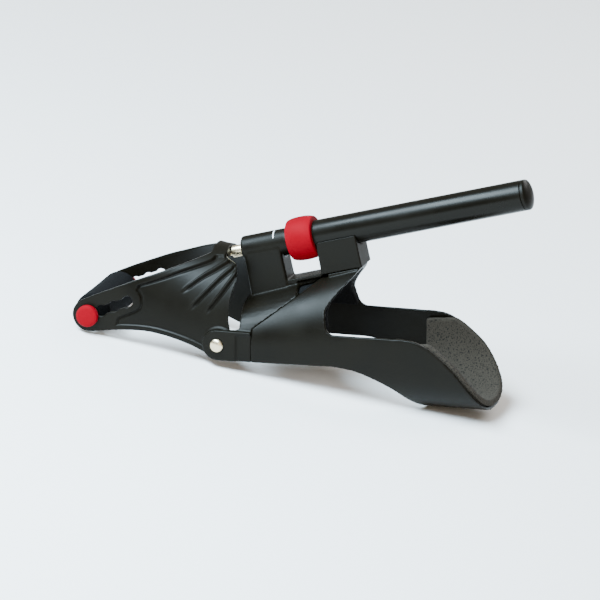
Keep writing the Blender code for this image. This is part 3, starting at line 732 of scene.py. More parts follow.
def cell_group() -> bpy.types.NodeTree:
    """Closed-cell foam: small pits and scattered specks.

    Returns:
        A group with inputs Scale and Depth, and outputs Pits, Specks and Normal.
    """
    name = "foam_cells"
    if name in bpy.data.node_groups:
        return bpy.data.node_groups[name]
    tree, nodes, source, target = new_group(
        name,
        ("Scale", "Depth"),
        (
            ("Pits", "NodeSocketFloat"),
            ("Specks", "NodeSocketFloat"),
            ("Normal", "NodeSocketVector"),
        ),
    )
    place = nodes.add("ShaderNodeTexCoord").outputs["Object"]
    cells = nodes.add("ShaderNodeTexVoronoi")
    nodes.link(place, cells.inputs["Vector"])
    nodes.link(source.outputs["Scale"], cells.inputs["Scale"])
    specks = nodes.noise(place, SPECK_SCALE, 1.0)
    bump = nodes.add("ShaderNodeBump")
    bump.inputs["Distance"].default_value = CELL_RELIEF
    nodes.link(source.outputs["Depth"], bump.inputs["Strength"])
    nodes.link(cells.outputs["Distance"], bump.inputs["Height"])
    nodes.link(cells.outputs["Distance"], target.inputs["Pits"])
    chosen = nodes.ranged(specks.outputs["Fac"], SPECK_RANGE, FULL_RANGE)
    nodes.link(chosen, target.inputs["Specks"])
    nodes.link(bump.outputs["Normal"], target.inputs["Normal"])
    return tree


@dataclass(frozen=True)
class Finish:
    """A surface finish.

    Attributes:
        name: The material's name.
        slot: Name of a material slot; not used.
        dark: Colour where the pattern is low.
        light: Colour where the pattern is high.
        rough: Least and most roughness.
        scale: Scale of the fine pattern, in cells per metre.
        depth: Strength of its relief.
        scuffs: Strength of handling marks.
        metallic: 1 for bare metal.
        gloss: Strength of the mirror-like share of a surface that isn't bare metal.
        sheen: Tint of that share.
    """

    name: str
    slot: str
    dark: Triple
    light: Triple
    rough: Point
    scale: float = 1200.0
    depth: float = 0.2
    scuffs: float = 0.0
    metallic: float = 0.0
    gloss: float = 0.5
    sheen: Triple = (1.0, 1.0, 1.0)

    def material(self) -> bpy.types.Material:
        """Makes the finish's material the first time and finds it later.

        Returns:
            The material.
        """
        if self.name in bpy.data.materials:
            return bpy.data.materials[self.name]
        made = bpy.data.materials.new(self.name)
        made.use_nodes = True
        made.diffuse_color = (*self.light, 1.0)
        nodes = NodeSheet(made.node_tree)
        shader = made.node_tree.nodes["Principled BSDF"]
        shader.inputs["Metallic"].default_value = self.metallic
        shader.inputs["Specular IOR Level"].default_value = self.gloss
        shader.inputs["Specular Tint"].default_value = (*self.sheen, 1.0)
        self.dress(nodes, shader)
        return made

    def dress(self, nodes: NodeSheet, shader: bpy.types.Node) -> None:
        """Feeds colour, roughness and relief from the grain and the scuffs.

        Args:
            nodes: The material's sheet.
            shader: The node that they feed.
        """
        grain = nodes.add("ShaderNodeGroup", node_tree=grain_group())
        grain.inputs["Scale"].default_value = self.scale
        grain.inputs["Depth"].default_value = self.depth
        patches = nodes.ranged(grain.outputs["Patches"], PATCH_RANGE, FULL_RANGE)
        nodes.link(nodes.mixed(patches, self.dark, self.light), shader.inputs["Base Color"])
        rough = nodes.ranged(grain.outputs["Patches"], PATCH_RANGE, self.rough)
        scuffs = nodes.add("ShaderNodeGroup", node_tree=scuff_group())
        scuffs.inputs["Amount"].default_value = self.scuffs
        total = nodes.add("ShaderNodeMath", operation="ADD", use_clamp=True)
        nodes.link(rough, total.inputs[0])
        nodes.link(scuffs.outputs["Scuffs"], total.inputs[1])
        nodes.link(total.outputs["Value"], shader.inputs["Roughness"])
        nodes.link(grain.outputs["Normal"], shader.inputs["Normal"])


@dataclass(frozen=True)
class FoamFinish(Finish):
    """Closed-cell foam, its colour darker in the pits as painted shade.

    Attributes:
        specks: Colour of its scattered specks.
    """

    specks: Triple = (0.5, 0.5, 0.5)

    def dress(self, nodes: NodeSheet, shader: bpy.types.Node) -> None:
        """Feeds colour, with painted shade in the pits, roughness and relief from the foam's cells.

        Args:
            nodes: The material's sheet.
            shader: The node that they feed.
        """
        cells = nodes.add("ShaderNodeGroup", node_tree=cell_group())
        cells.inputs["Scale"].default_value = self.scale
        cells.inputs["Depth"].default_value = self.depth
        # Painted shade: the colour runs from dark in the pits to light on the raised cell walls.
        pits = nodes.ranged(cells.outputs["Pits"], PIT_RANGE, FULL_RANGE)
        base = nodes.mixed(pits, self.dark, self.light)
        speckled = nodes.add("ShaderNodeMix", data_type="RGBA")
        nodes.link(cells.outputs["Specks"], speckled.inputs["Factor"])
        nodes.link(base, speckled.inputs["A"])
        speckled.inputs["B"].default_value = (*self.specks, 1.0)
        nodes.link(speckled.outputs["Result"], shader.inputs["Base Color"])
        rough = nodes.ranged(cells.outputs["Pits"], PIT_RANGE, self.rough)
        nodes.link(rough, shader.inputs["Roughness"])
        nodes.link(cells.outputs["Normal"], shader.inputs["Normal"])


BLACK_PLASTIC = Finish(
    "black_plastic_moulded", "black_plastic",
    (0.0022, 0.0017, 0.0008), (0.0034, 0.0027, 0.0013), (0.34, 0.44),
    scale=1500.0, depth=0.24, scuffs=0.10, gloss=0.100, sheen=(1.0, 0.98, 0.93),
)
BLACK_STEEL = Finish(
    "black_steel_coated", "black_steel",
    (0.0020, 0.0016, 0.0008), (0.0030, 0.0024, 0.0013), (0.26, 0.34),
    scale=700.0, depth=0.07, scuffs=0.10, gloss=0.115, sheen=(1.0, 0.98, 0.93),
)
RED_PLASTIC = Finish(
    "red_plastic_moulded", "red_plastic",
    (0.150, 0.0001, 0.0040), (0.190, 0.0001, 0.0060), (0.46, 0.56),
    scale=1300.0, depth=0.18, scuffs=0.06, gloss=0.06, sheen=(1.0, 0.3, 0.3),
)
NICKEL = Finish(
    "nickel_plated", "nickel",
    (0.56, 0.44, 0.27), (0.74, 0.62, 0.42), (0.20, 0.32),
    scale=900.0, depth=0.05, scuffs=0.18, metallic=1.0,
)
WHITE_PAINT = Finish(
    "white_index_paint", "black_steel",
    (0.78, 0.78, 0.76), (0.86, 0.86, 0.84), (0.45, 0.55), scale=1200.0, depth=0.1,
)
# For the foams, dark is the colour of the painted shade in the pits and light that of the cell walls.
DARK_FOAM = FoamFinish(
    "dark_foam_cells", "dark_foam",
    (0.0012, 0.0012, 0.0012), (0.0042, 0.0042, 0.0043), (0.80, 0.95),
    scale=1100.0, depth=0.55, gloss=0.06, specks=(0.0070, 0.0070, 0.0072),
)
GREY_FOAM = FoamFinish(
    "grey_foam_cells", "grey_foam",
    (0.018, 0.0150, 0.011), (0.035, 0.0290, 0.022), (0.80, 0.95),
    scale=900.0, depth=0.6, gloss=0.12, specks=(0.008, 0.0072, 0.006),
)


# The arm body


@dataclass
class ArmBody:
    """The worn frame: arch over the wrist, leg, side arms and cradle, with their foam."""

    pose: Matrix
    axis: TubeAxis = field(default_factory=TubeAxis)
    length: float = ARM_LENGTH
    front: float = 12.4 * MM
    half_width: float = ARM_HALF_WIDTH
    taper: float = 7.0 * MM
    wall: float = 3.0 * MM
    low_edge: float = 12.4 * MM
    top_edge: float = 14.7 * MM
    crown_height: float = 31.0 * MM
    crown_rise: float = 0.325
    trough_depth: float = TROUGH_DEPTH
    crown_power: float = 2.2
    trough_power: float = 2.4
    seam_foot: float = 28.4 * MM
    seam_lap: float = 0.25 * GAP
    rear_post: float = 63.6 * MM
    post_toe: float = 4.0 * MM
    post_foot: float = 30.3 * MM
    post_length: float = 34.0 * MM
    post_lean: float = 2.4 * MM
    saddle_half_width: float = 13.0 * MM
    saddle_front_depth: float = 3.9 * MM
    saddle_rear_depth: float = 2.1 * MM
    arch_pad: float = 7.0 * MM
    arch_pad_setback: float = 8.0 * MM
    arch_pad_lift: float = 2.0 * MM
    cradle_pad: float = 5.0 * MM
    cradle_pad_setback: float = 4.0 * MM
    pad_proud: float = 2.5 * MM
    quarter_run: float = 80.0 * MM
    skin_step: float = 2.0 * MM
    pad_step: float = 2.5 * MM
    voxel: float = 0.8 * MM
    rounds: int = 3
    arch_pad_voxel: float = 1.2 * MM
    arch_pad_rounds: int = 6
    cradle_pad_voxel: float = 1.0 * MM
    cradle_pad_rounds: int = 5
    # Columns of the edges: x of length and z of trough_depth, or of the crown's height there.
    heel_edge: tuple[Point, ...] = (
        (0.432, -0.235), (0.509, -0.281), (0.582, -0.400),
        (0.655, -0.583), (0.714, -0.823), (HEEL_SHARE, -1.004),
    )
    lip_edge: tuple[Point, ...] = (
        (0.700, 0.318), (0.741, 0.296), (0.777, 0.231), (0.818, 0.113),
        (0.893, -0.202), (0.959, -0.658), (0.984, -0.896), (0.995, -1.083),
    )
    leg_edge: tuple[Point, ...] = (
        (0.487, 0.980), (0.466, 0.876), (0.426, 0.704), (0.402, 0.560),
        (0.401, 0.460), (0.412, 0.300), (0.433, 0.238),
    )

    def crown(self, x: float) -> float:
        """Height of the crown above the pivot at x."""
        return self.crown_height + self.crown_rise * (x - self.front)

    def ring_point(self, x: float, share: float, inset: float) -> Vector:
        """Gives a place on the arm body's closed section.

        Args:
            x: Place along the arm.
            share: Share of a full turn, from the crown.
            inset: Distance inside the outer surface.

        Returns:
            The place in the arm's frame.
        """
        angle = 2 * math.pi * share
        side, rise = math.sin(angle), math.cos(angle)
        up = rise > 0
        power = self.crown_power if up else self.trough_power
        reach = (self.crown(x) if up else self.trough_depth) - inset
        part = min(max(x / self.length, 0.0), 1.0)
        width = self.half_width - self.taper * part - inset
        y = width * math.copysign(abs(side) ** (2 / power), side)
        z = reach * math.copysign(abs(rise) ** (2 / power), rise)
        return Vector((x, y, z))

    def body_sheet(
        self, name: str, x_low: float, x_high: float, inset: float, wall: float, step: float
    ) -> Block:
        """A stretch of the arm body's skin with a wall.

        Args:
            name: The block's name.
            x_low: Where it starts along the arm.
            x_high: Where it ends.
            inset: Distance of its outer face inside the body's outer surface.
            wall: Its thickness.
            step: About how large its faces are.

        Returns:
            The block.
        """
        columns = max(2, round((x_high - x_low) / step))
        rows = 4 * round(self.quarter_run / step)
        made = sheet(
            name, columns, rows,
            lambda u, v: self.ring_point(x_low + (x_high - x_low) * u, v, inset),
        )
        made.wall(wall)
        return made

    def seam(self, offset: float) -> list[Point]:
        """The joint between arch and arm shell in the side view.

        Args:
            offset: How far it is moved back.

        Returns:
            Its foot, shoulder and upper corner.
        """
        corner = self.axis.point(self.rear_post + self.post_toe + offset, -self.post_foot)
        return [
            (self.seam_foot + offset, -self.low_edge),
            (self.seam_foot + offset, self.top_edge),
            (corner[0] + offset / 2, corner[1] - offset / 2),
        ]

    def leg(self) -> list[Point]:
        """Gives the rear edge of the arch's leg, from the crown down."""
        return scaled(self.leg_edge, self.length, self.crown(self.leg_edge[0][0] * self.length))

    def shell_outline(self) -> list[Point]:
        """Draws the rear moulding's side outline, which meets the arch so that no light gets through.

        Returns:
            Its points, from the seam's foot round to the lower edge.
        """
        foot, shoulder, corner = self.seam(-self.seam_lap)
        leg = self.leg()
        lip = scaled(self.lip_edge, self.length, self.trough_depth)
        heel = scaled(self.heel_edge, self.length, self.trough_depth)
        return [
            foot, shoulder, corner,
            (corner[0], corner[1] + self.crown_height),
            (leg[0][0] + MARGIN, leg[0][1] + self.crown_height),
            *smooth_path(leg), *smooth_path(lip),
            (lip[-1][0], -2 * self.trough_depth),
            (heel[-1][0], -2 * self.trough_depth),
            *reversed(smooth_path(heel)),
        ]

    def build_shell(self) -> None:
        """The rear moulding, from the seam back to the cradle's tip."""
        shell = self.body_sheet(
            "arm_shell_skin", self.seam_foot - MARGIN, self.length + MARGIN, 0.0, self.wall,
            self.skin_step,
        )
        wide = 2 * self.half_width
        shell.meet(Cut.KEEP, prism("shell_outline", self.shell_outline(), -wide, wide))
        start = self.rear_post + self.post_toe + 2 * GAP
        end = self.rear_post + self.post_length - self.post_lean
        block = prism(
            "saddle_block",
            [
                self.axis.point(start, -self.post_foot - GAP),
                self.axis.point(start, -self.post_foot - self.saddle_front_depth),
                self.axis.point(end, -self.post_foot - self.saddle_rear_depth),
                self.axis.point(end, -self.post_foot - GAP),
            ],
            -self.saddle_half_width, self.saddle_half_width,
        )
        shell.meet(Cut.ADD, block)
        shell.soften(self.voxel, self.rounds)
        shell.finish(self.pose, BLACK_PLASTIC, "frame", ["arm_shell"], SOFT_CREASE)

    def build_front_arch(self, node: bpy.types.Object) -> None:
        """The front moulding, its edges and inner corners rounded as moulded ones are.

        Args:
            node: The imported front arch, which is copied and stays as it is.
        """
        cage = bmesh.new()
        cage.from_mesh(node.data)
        bmesh.ops.transform(cage, matrix=self.pose.inverted(), verts=cage.verts)
        bmesh.ops.remove_doubles(cage, verts=cage.verts, dist=MERGE)
        arch = Block("front_arch_moulding", cage)
        arch.soften(self.voxel, self.rounds)
        arch.finish(self.pose, BLACK_PLASTIC, "frame", ["front_arch"], SOFT_CREASE)

    def build_arch_pad(self) -> None:
        """Dark foam under the arch, up to the leg's rear edge."""
        leg = self.leg()[:-1]
        pad = self.body_sheet(
            "arch_pad_foam", self.seam_foot, leg[0][0] + MARGIN, self.wall + GAP,
            self.arch_pad, self.pad_step,
        )
        start = self.seam_foot + self.arch_pad_setback
        low = self.top_edge + self.arch_pad_lift
        outline = [
            (start, low), (start, leg[0][1] + MARGIN), (leg[0][0] + MARGIN, leg[0][1] + MARGIN),
            *smooth_path(leg), (leg[-1][0], low),
        ]
        wide = 2 * self.half_width
        pad.meet(Cut.KEEP, prism("arch_pad_outline", outline, -wide, wide))
        pad.soften(self.arch_pad_voxel, self.arch_pad_rounds)
        item = pad.finish(self.pose, DARK_FOAM, "frame", ["arch_pad"], SOFT_CREASE)

    def build_cradle_pad(self) -> None:
        """Grey speckled foam in the cradle, a little proud of its rear edge."""
        lip = [
            (x * self.length + self.pad_proud, z * self.trough_depth + self.pad_proud / 3)
            for x, z in self.lip_edge[2:]
        ]
        heel = [
            (x * self.length + self.cradle_pad_setback, z * self.trough_depth)
            for x, z in self.heel_edge[3:]
        ]
        pad = self.body_sheet(
            "cradle_pad_foam", heel[0][0] - MARGIN, self.length + MARGIN, self.wall + GAP,
            self.cradle_pad, self.pad_step,
        )
        outline = [
            (heel[0][0], lip[0][1] - self.pad_proud), *smooth_path(lip),
            (lip[-1][0], -2 * self.trough_depth), (heel[-1][0], -2 * self.trough_depth),
            *reversed(smooth_path(heel)),
        ]
        wide = 2 * self.half_width
        pad.meet(Cut.KEEP, prism("cradle_pad_outline", outline, -wide, wide))
        pad.soften(self.cradle_pad_voxel, self.cradle_pad_rounds)
        item = pad.finish(self.pose, GREY_FOAM, "frame", ["cradle_pad"], SOFT_CREASE)

    def build(self, nodes: dict[str, bpy.types.Object]) -> None:
        """Builds and dresses the whole arm body.

        Args:
            nodes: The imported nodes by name.
        """
        self.build_front_arch(nodes["front_arch"])
        self.build_shell()
        self.build_arch_pad()
        self.build_cradle_pad()


# The wrist pivot


@dataclass
class WristPivot:
    """The two domed rivets through tabs and cheeks."""

    pose: Matrix
    head_radius: float = 5.5 * MM
    head_height: float = 2.6 * MM
    head_edge: float = 0.3 * MM
    shank: float = RIVET_RADIUS
    face: float = ARM_HALF_WIDTH
    tail: float = 8.0 * MM
    sides: int = 64

    def build(self) -> None:
        """Turns a rivet for each side."""
        turns = [math.radians(a) for a in range(0, 91, 6)]
        dome = [(self.head_radius * math.sin(a), self.head_height * math.cos(a)) for a in turns]
        profile = [
            *dome, (self.head_radius - self.head_edge, 0.0), (self.shank, 0.0),
            (self.shank, -self.tail), (0.0, -self.tail),
        ]
        for side in Side:
            title = side.name.lower()
            place = across((0.0, 0.0), side, self.face + GAP)
            rivet = turned(f"{title}_rivet", profile, self.sides, place)
            rivet.finish(self.pose, NICKEL, "frame", [f"{title}_pivot_rivet"])


# The spring tube


@dataclass
class SpringTube:
    """The black steel tube, its end plug, the red ring and the sleeve's index mark."""

    pose: Matrix
    axis: TubeAxis = field(default_factory=TubeAxis)
    length: float = 246.9 * MM
    radius: float = 12.5 * MM
    wall: float = 2.0 * MM
    neck_radius: float = 9.3 * MM
    neck_bore: float = 7.6 * MM
    neck_setback: float = 2.0 * MM
    shoulder: float = 63.3 * MM
    cap_length: float = 4.3 * MM
    cap_dome: float = 4.0 * MM
    plug: float = 8.0 * MM
    ring_start: float = 41.3 * MM
    ring_width: float = 22.0 * MM
    ring_radius: float = 17.8 * MM
    ring_crown: float = 1.6 * MM
    ring_power: float = 2.6
    ring_steps: int = 24
    sleeve_radius: float = 11.0 * MM
    mark_place: float = 29.4 * MM
    mark_width: float = 0.9 * MM
    mark_sunk: float = 0.3 * MM
    mark_proud: float = 0.06 * MM
    mark_start: float = math.radians(4)
    mark_sweep: float = math.radians(50)
    tube_edge: float = 0.6 * MM
    cap_edge: float = 0.3 * MM
    ring_edge: float = 0.9 * MM
    sides: int = 96

    def build_tube(self) -> None:
        """Neck and tube, turned in one."""
        end = self.length - self.cap_length
        inner = self.radius - self.wall
        outside = rounded_profile(
            [
                (inner, end), (self.radius, end), (self.radius, self.shoulder),
                (self.neck_radius, self.shoulder), (self.neck_radius, self.neck_setback),
                (self.neck_bore, self.neck_setback),
            ],
            self.tube_edge,
        )
        profile = [
            *outside, (self.neck_bore, self.shoulder + self.wall),
            (inner, self.shoulder + 2 * self.wall),
        ]
        tube = turned("spring_tube_coated", profile, self.sides, self.axis.matrix())
        tube.finish(self.pose, BLACK_STEEL, "frame", ["spring_tube"])

    def build_end_cap(self) -> None:
        """Low-domed plug in the tube's rear end."""
        start = self.length - self.cap_length + GAP
        plug_radius = self.radius - self.wall - GAP
        foot = self.length - self.cap_dome / 2
        turns = [math.radians(a) for a in range(0, 91, 5)]
        dome = [(self.radius * math.sin(a), foot + self.cap_dome * math.cos(a)) for a in turns]
        profile = [
            *dome, (self.radius, start + self.cap_edge), (self.radius - self.cap_edge, start),
            (plug_radius, start), (plug_radius, start - self.plug), (0.0, start - self.plug),
        ]
        cap = turned("tube_end_plug", profile, self.sides, self.axis.matrix())
        cap.finish(self.pose, BLACK_PLASTIC, "frame", ["tube_end_cap"])

    def build_ring(self) -> None:
        """Barrel-shaped red ring with softened edges."""
        bore = self.neck_radius + GAP
        barrel = []
        for i in range(self.ring_steps + 1):
            t = i / self.ring_steps
            sunk = self.ring_crown * abs(2 * t - 1) ** self.ring_power
            barrel.append((self.ring_radius - sunk, self.ring_width * (1 - t)))
        top = rounded_corner((bore, self.ring_width), barrel[0], barrel[1], self.ring_edge)
        low = rounded_corner(barrel[-2], barrel[-1], (bore, 0.0), self.ring_edge)
        profile = [(bore, self.ring_width), *top, *barrel[1:-1], *low, (bore, 0.0)]
        ring = turned("adjust_ring_red", profile, self.sides, self.axis.matrix(self.ring_start))
        ring.finish(self.pose, RED_PLASTIC, "ring", ["adjust_ring"])

    def build_index_mark(self) -> None:
        """Short white line across the sleeve's top, by which the ring's turn is read."""
        cage = bmesh.new()
        inner, outer = self.sleeve_radius - self.mark_sunk, self.sleeve_radius + self.mark_proud
        low, high = self.mark_place - self.mark_width / 2, self.mark_place + self.mark_width / 2
        ends = [(-inner, 0.0, low), (-outer, 0.0, low), (-outer, 0.0, high), (-inner, 0.0, high)]
        verts = [cage.verts.new(end) for end in ends]
        face = bmesh.ops.contextual_create(cage, geom=verts)["faces"][0]
        start = Matrix.Rotation(self.mark_start, 3, "Z")
        bmesh.ops.rotate(cage, verts=cage.verts, cent=(0, 0, 0), matrix=start)
        bmesh.ops.spin(
            cage,
            geom=[face, *face.edges, *face.verts],
            cent=(0, 0, 0),
            axis=(0, 0, 1),
            angle=self.mark_sweep,
            steps=16,
            use_merge=False,
        )
        bmesh.ops.transform(cage, matrix=self.axis.matrix(), verts=cage.verts)
        mark = Block("sleeve_index_mark", cage)
        mark.finish(self.pose, WHITE_PAINT, "frame")

    def build(self) -> None:
        """Builds and dresses the tube and what is on it."""
        self.build_tube()
        self.build_end_cap()
        self.build_ring()
        self.build_index_mark()


# The hand lever


@dataclass
class HandLever:
    """Fork over the hand: two cheeks with rims and flutes, joined by a strap at the wrist."""

    pose: Matrix
    axis: TubeAxis = field(default_factory=TubeAxis)
    reach: float = LEVER_REACH
    nose_rise: float = NOSE_RISE
    nose_radius: float = 13.4 * MM
    half_width: float = CHEEK_HALF_WIDTH
    crown: float = 70.0 * MM
    growth: float = 1.353
    wall: float = 3.0 * MM
    eye_radius: float = 10.5 * MM
    yoke_share: float = 0.1086
    yoke_length: float = 12.0 * MM
    yoke_reach: float = 3.73 * MM
    lug_width: float = 9.0 * MM
    lug_radius: float = 4.5 * MM
    lug_inset: float = 2.0 * MM
    lug_top: float = 2.8 * MM
    rod_eye_width: float = ROD_EYE_WIDTH
    pin_radius: float = 1.5 * MM
    pin_edge: float = 0.3 * MM
    pin_share: float = 0.8
    pin_sides: int = 32
    rivet_radius: float = RIVET_RADIUS
    slot_pitch: float = 11.7 * MM
    slot_steps: int = 3
    slot_angle: float = math.radians(21.9)
    slot_lobe: float = 4.6 * MM
    bar_end: float = BAR_END_RADIUS
    sheet_columns: int = 118
    sheet_rows: int = 176
    skirt_spread: float = 1.3
    voxel: float = 0.62 * MM
    rounds: int = 2
    field_depth: float = 1.2 * MM
    step_width: float = 0.9 * MM
    line_width: float = 0.95 * MM
    line_depth: float = 1.15 * MM
    flute_height: float = 1.5 * MM
    flute_fade: float = 0.22
    groove_start: float = 0.3
    groove_fade: float = 0.25
    land_width: float = 0.8
    land_depth: float = 0.6
    eye_land: float = 15.0 * MM
    strap_share: float = 0.935
    strap_top: float = 1.2
    strap_foot: float = 0.92
    rim_width: float = 4.4 * MM
    low_rim_width: float = 4.2 * MM
    # Columns of the edges: x of reach and z of crown, but of crown alone at the rear.
    top_edge: tuple[Point, ...] = (
        (1.050, 0.396), (0.916, 0.490), (0.766, 0.587), (0.620, 0.680),
        (0.476, 0.761), (0.340, 0.844), (0.211, 0.917), (0.144, 0.957),
    )
    low_edge: tuple[Point, ...] = (
        (0.113, -0.107), (0.221, -0.036), (0.375, 0.034), (0.529, 0.076),
        (0.682, 0.080), (0.836, 0.061), (0.989, 0.027),
    )
    rear_edge: tuple[Point, ...] = (
        (0.034, 0.886), (0.111, 0.846), (0.144, 0.730), (0.127, 0.617),
        (0.107, 0.509), (0.104, 0.286), (0.119, 0.217),
    )
    # Columns: x of reach and z of crown, from the wrist end to the tail.
    flutes: tuple[tuple[Point, ...], ...] = (
        ((-0.005, 0.901), (-0.085, 0.821), (-0.182, 0.727), (-0.315, 0.559)),
        ((0.040, 0.843), (-0.034, 0.737), (-0.129, 0.573), (-0.252, 0.363)),
        ((0.080, 0.800), (0.034, 0.684), (-0.046, 0.496), (-0.129, 0.331)),
    )
    plateau: tuple[Point, ...] = (
        (-0.600, 0.700), (-0.638, 0.566), (-0.621, 0.520), (-0.604, 0.466), (-0.605, 0.384),
        (-0.623, 0.336), (-0.684, 0.281), (-0.760, 0.226), (-0.782, 0.176), (-0.790, 0.020),
    )

    def height(self, x: float) -> float:
        """Height that the hood's curve reaches at x."""
        return self.crown * (1 + self.growth * (x / self.reach) ** 2)

    def skin_point(self, x: float, share: float) -> Vector:
        """Gives a place on the hood's open section.

        Args:
            x: Place along the arm.
            share: From one cheek's lower edge, at 0, to the other's, at 1.

        Returns:
            The place in the arm's frame.
        """
        skirt = self.eye_radius + MARGIN
        run = self.skirt_spread * skirt / self.crown
        t = (2 * share - 1) * (1 + run)
        if abs(t) > 1:
            z = -(abs(t) - 1) / run * skirt
            return Vector((x, math.copysign(self.half_width, t), z))
        angle = 0.5 * math.pi * t
        return Vector((x, self.half_width * math.sin(angle), self.height(x) * math.cos(angle)))

    def slot_place(self, step: int) -> Point:
        """Finds the middle of one of the slot's round stops.

        Args:
            step: Which stop, from 0 at the front.

        Returns:
            Its place in the side view.
        """
        run = step * self.slot_pitch
        return (
            -self.reach + run * math.cos(self.slot_angle),
            self.nose_rise + run * math.sin(self.slot_angle),
        )

    def pin_place(self) -> Point:
        """Middle of the pin that joins lever and rod."""
        x = -self.yoke_share * self.crown
        return x, self.axis.height + x * math.tan(self.axis.angle)

    def outline(self) -> list[Point]:
        """Draws the side outline: top edge, strap, rear edge, pivot eye, lower edge and nose.

        Returns:
            Its points in the side view.
        """
        top = scaled(self.top_edge, -self.reach, self.crown)
        low = scaled(self.low_edge, -self.reach, self.crown)
        rear = scaled(self.rear_edge, self.crown, self.crown)
        strap = self.pin_place()[0] + self.yoke_reach
        return [
            *smooth_path(top, 6),
            (strap - self.yoke_length, self.strap_top * self.crown),
            (strap, self.strap_top * self.crown),
            (strap, self.strap_foot * self.crown),
            *smooth_path(rear, 6),
            *arc((0.0, 0.0), self.eye_radius, 10, -125, 24),
            *smooth_path(low, 6)[:-1],
            *arc((-self.reach, self.nose_rise), self.nose_radius, 278, 122, 32),
        ]

    def relief(self, side: np.ndarray) -> np.ndarray:
        """Depth of the outer skin against the plain hood.

        Args:
            side: Rows of side-view places (x, z).

        Returns:
            A distance for each, negative where the skin lies deeper.
        """
        top = smooth_path(scaled(self.top_edge, -self.reach, self.crown), 6)
        low = smooth_path(scaled(self.low_edge, -self.reach, self.crown), 6)
        to_top, _, along = distance(side, top)
        to_low, _, _ = distance(side, low)
        edge = smooth_path(scaled(self.plateau, self.reach, self.crown), 6)
        to_edge, flank, _ = distance(side, edge)
        to_eye = np.linalg.norm(side, axis=1)
        raised = ease((self.rim_width - to_top) / self.step_width + 0.5)
        for inside in (
            (self.low_rim_width - to_low) / self.step_width + 0.5,
            flank * to_edge / self.step_width + 0.5,
            (self.eye_land - to_eye) / (3 * self.step_width),
            (side[:, 1] - self.strap_share * self.crown) / self.step_width + 0.5,
        ):
            raised = np.maximum(raised, ease(inside))
        depth = -self.field_depth * (1 - raised)
        under_rim = ridge(to_top - self.rim_width - self.line_width, self.line_width)
        rear_half = ease((along - self.groove_start) / self.groove_fade)
        depth = depth - self.line_depth * under_rim * rear_half * (1 - raised)
        land_line = self.land_width * self.line_width
        round_edge = ridge(to_edge - land_line, land_line)
        sunk = self.land_depth * self.line_depth
        depth = depth - sunk * round_edge * (flank < 0) * (1 - raised)
        for flute in self.flutes:
            path = smooth_path(scaled(flute, self.reach, self.crown), 6)
            gap, flank, share = distance(side, path)
            fade = ease((1 - share) / self.flute_fade) * (1 - raised)
            crest = self.flute_height * ridge(gap, self.line_width)
            shadow = self.line_depth * ridge(gap - 2 * self.line_width, self.line_width)
            depth = depth + fade * (crest - shadow * (flank < 0))
        return depth

    def build_lever(self) -> None:
        """Bends, trims and relieves the fork's skin, then adds the lugs and the slots."""
        start = -self.reach - self.nose_radius - MARGIN
        end = self.eye_radius + MARGIN
        skin = sheet(
            "hand_lever_moulding", self.sheet_columns, self.sheet_rows,
            lambda u, v: self.skin_point(start + (end - start) * u, v),
        )
        skin.wall(self.wall)
        wide = 2 * self.half_width
        skin.meet(Cut.KEEP, prism("lever_outline", self.outline(), -wide, wide))
        pin = self.pin_place()
        inner = self.rod_eye_width / 2 + GAP
        top = self.crown - self.lug_top
        for side in Side:
            low, high = sorted((side.value * inner, side.value * (inner + self.lug_width)))
            outline = [
                (pin[0] - self.yoke_length / 2 + self.lug_inset, top),
                *arc(pin, self.lug_radius, 180, 360, 20),
                (pin[0] + self.yoke_length / 2 - self.lug_inset, top),
            ]
            skin.meet(Cut.ADD, prism(f"{side.name.lower()}_lug", outline, low, high))
        skin.meet(Cut.REMOVE, drum("pin_hole", self.pin_radius + GAP, inner + self.lug_width, pin))
        skin.meet(Cut.REMOVE, drum("eye_holes", self.rivet_radius + GAP, wide, (0.0, 0.0)))
        for step in range(self.slot_steps + 1):
            skin.meet(Cut.REMOVE, drum(f"stop_{step}", self.slot_lobe, wide, self.slot_place(step)))
        first, last = self.slot_place(0), self.slot_place(self.slot_steps)
        clear = self.bar_end + GAP
        rise = (-clear * math.sin(self.slot_angle), clear * math.cos(self.slot_angle))
        corridor = [
            (first[0] + rise[0], first[1] + rise[1]), (first[0] - rise[0], first[1] - rise[1]),
            (last[0] - rise[0], last[1] - rise[1]), (last[0] + rise[0], last[1] + rise[1]),
        ]
        skin.meet(Cut.REMOVE, prism("corridor", corridor, -wide, wide))
        skin.soften(self.voxel, self.rounds)
        self.carve(skin)
        skin.finish(self.pose, BLACK_PLASTIC, "lever", ["hand_lever"], SOFT_CREASE)

    def carve(self, skin: Block) -> None:
        """Moves the outer surface in and out by the relief.

        Args:
            skin: The evenly meshed lever.
        """
        places = skin.places()
        height = self.crown * (1 + self.growth * (places[:, 0] / self.reach) ** 2)
        up = np.maximum(places[:, 2], 0.0)
        level = np.hypot(places[:, 1] / self.half_width, up / height)
        outer = level > 1 - 0.25 * self.wall / self.half_width
        away = np.stack(
            [np.zeros(len(up)), places[:, 1] / self.half_width**2, up / height**2], axis=1
        )
        away /= np.maximum(np.linalg.norm(away, axis=1), 1e-9)[:, None]
        depth = np.where(outer, self.relief(places[:, [0, 2]]), 0.0)
        skin.move_to(places + away * depth[:, None])

    def build_yoke_pin(self) -> None:
        """Pin through the lugs and the rod's eye."""
        half = self.rod_eye_width / 2 + self.pin_share * self.lug_width
        r = self.pin_radius
        corners = [(0.0, half), (r, half), (r, -half), (0.0, -half)]
        profile = rounded_profile(corners, self.pin_edge)
        place = across(self.pin_place(), Side.NEAR)
        pin = turned("yoke_pin_plated", profile, self.pin_sides, place)
        pin.finish(self.pose, NICKEL, "lever", ["yoke_pin"])

    def build(self) -> None:
        """Builds and dresses the lever and its pin."""
        self.build_lever()
        self.build_yoke_pin()


# The rod


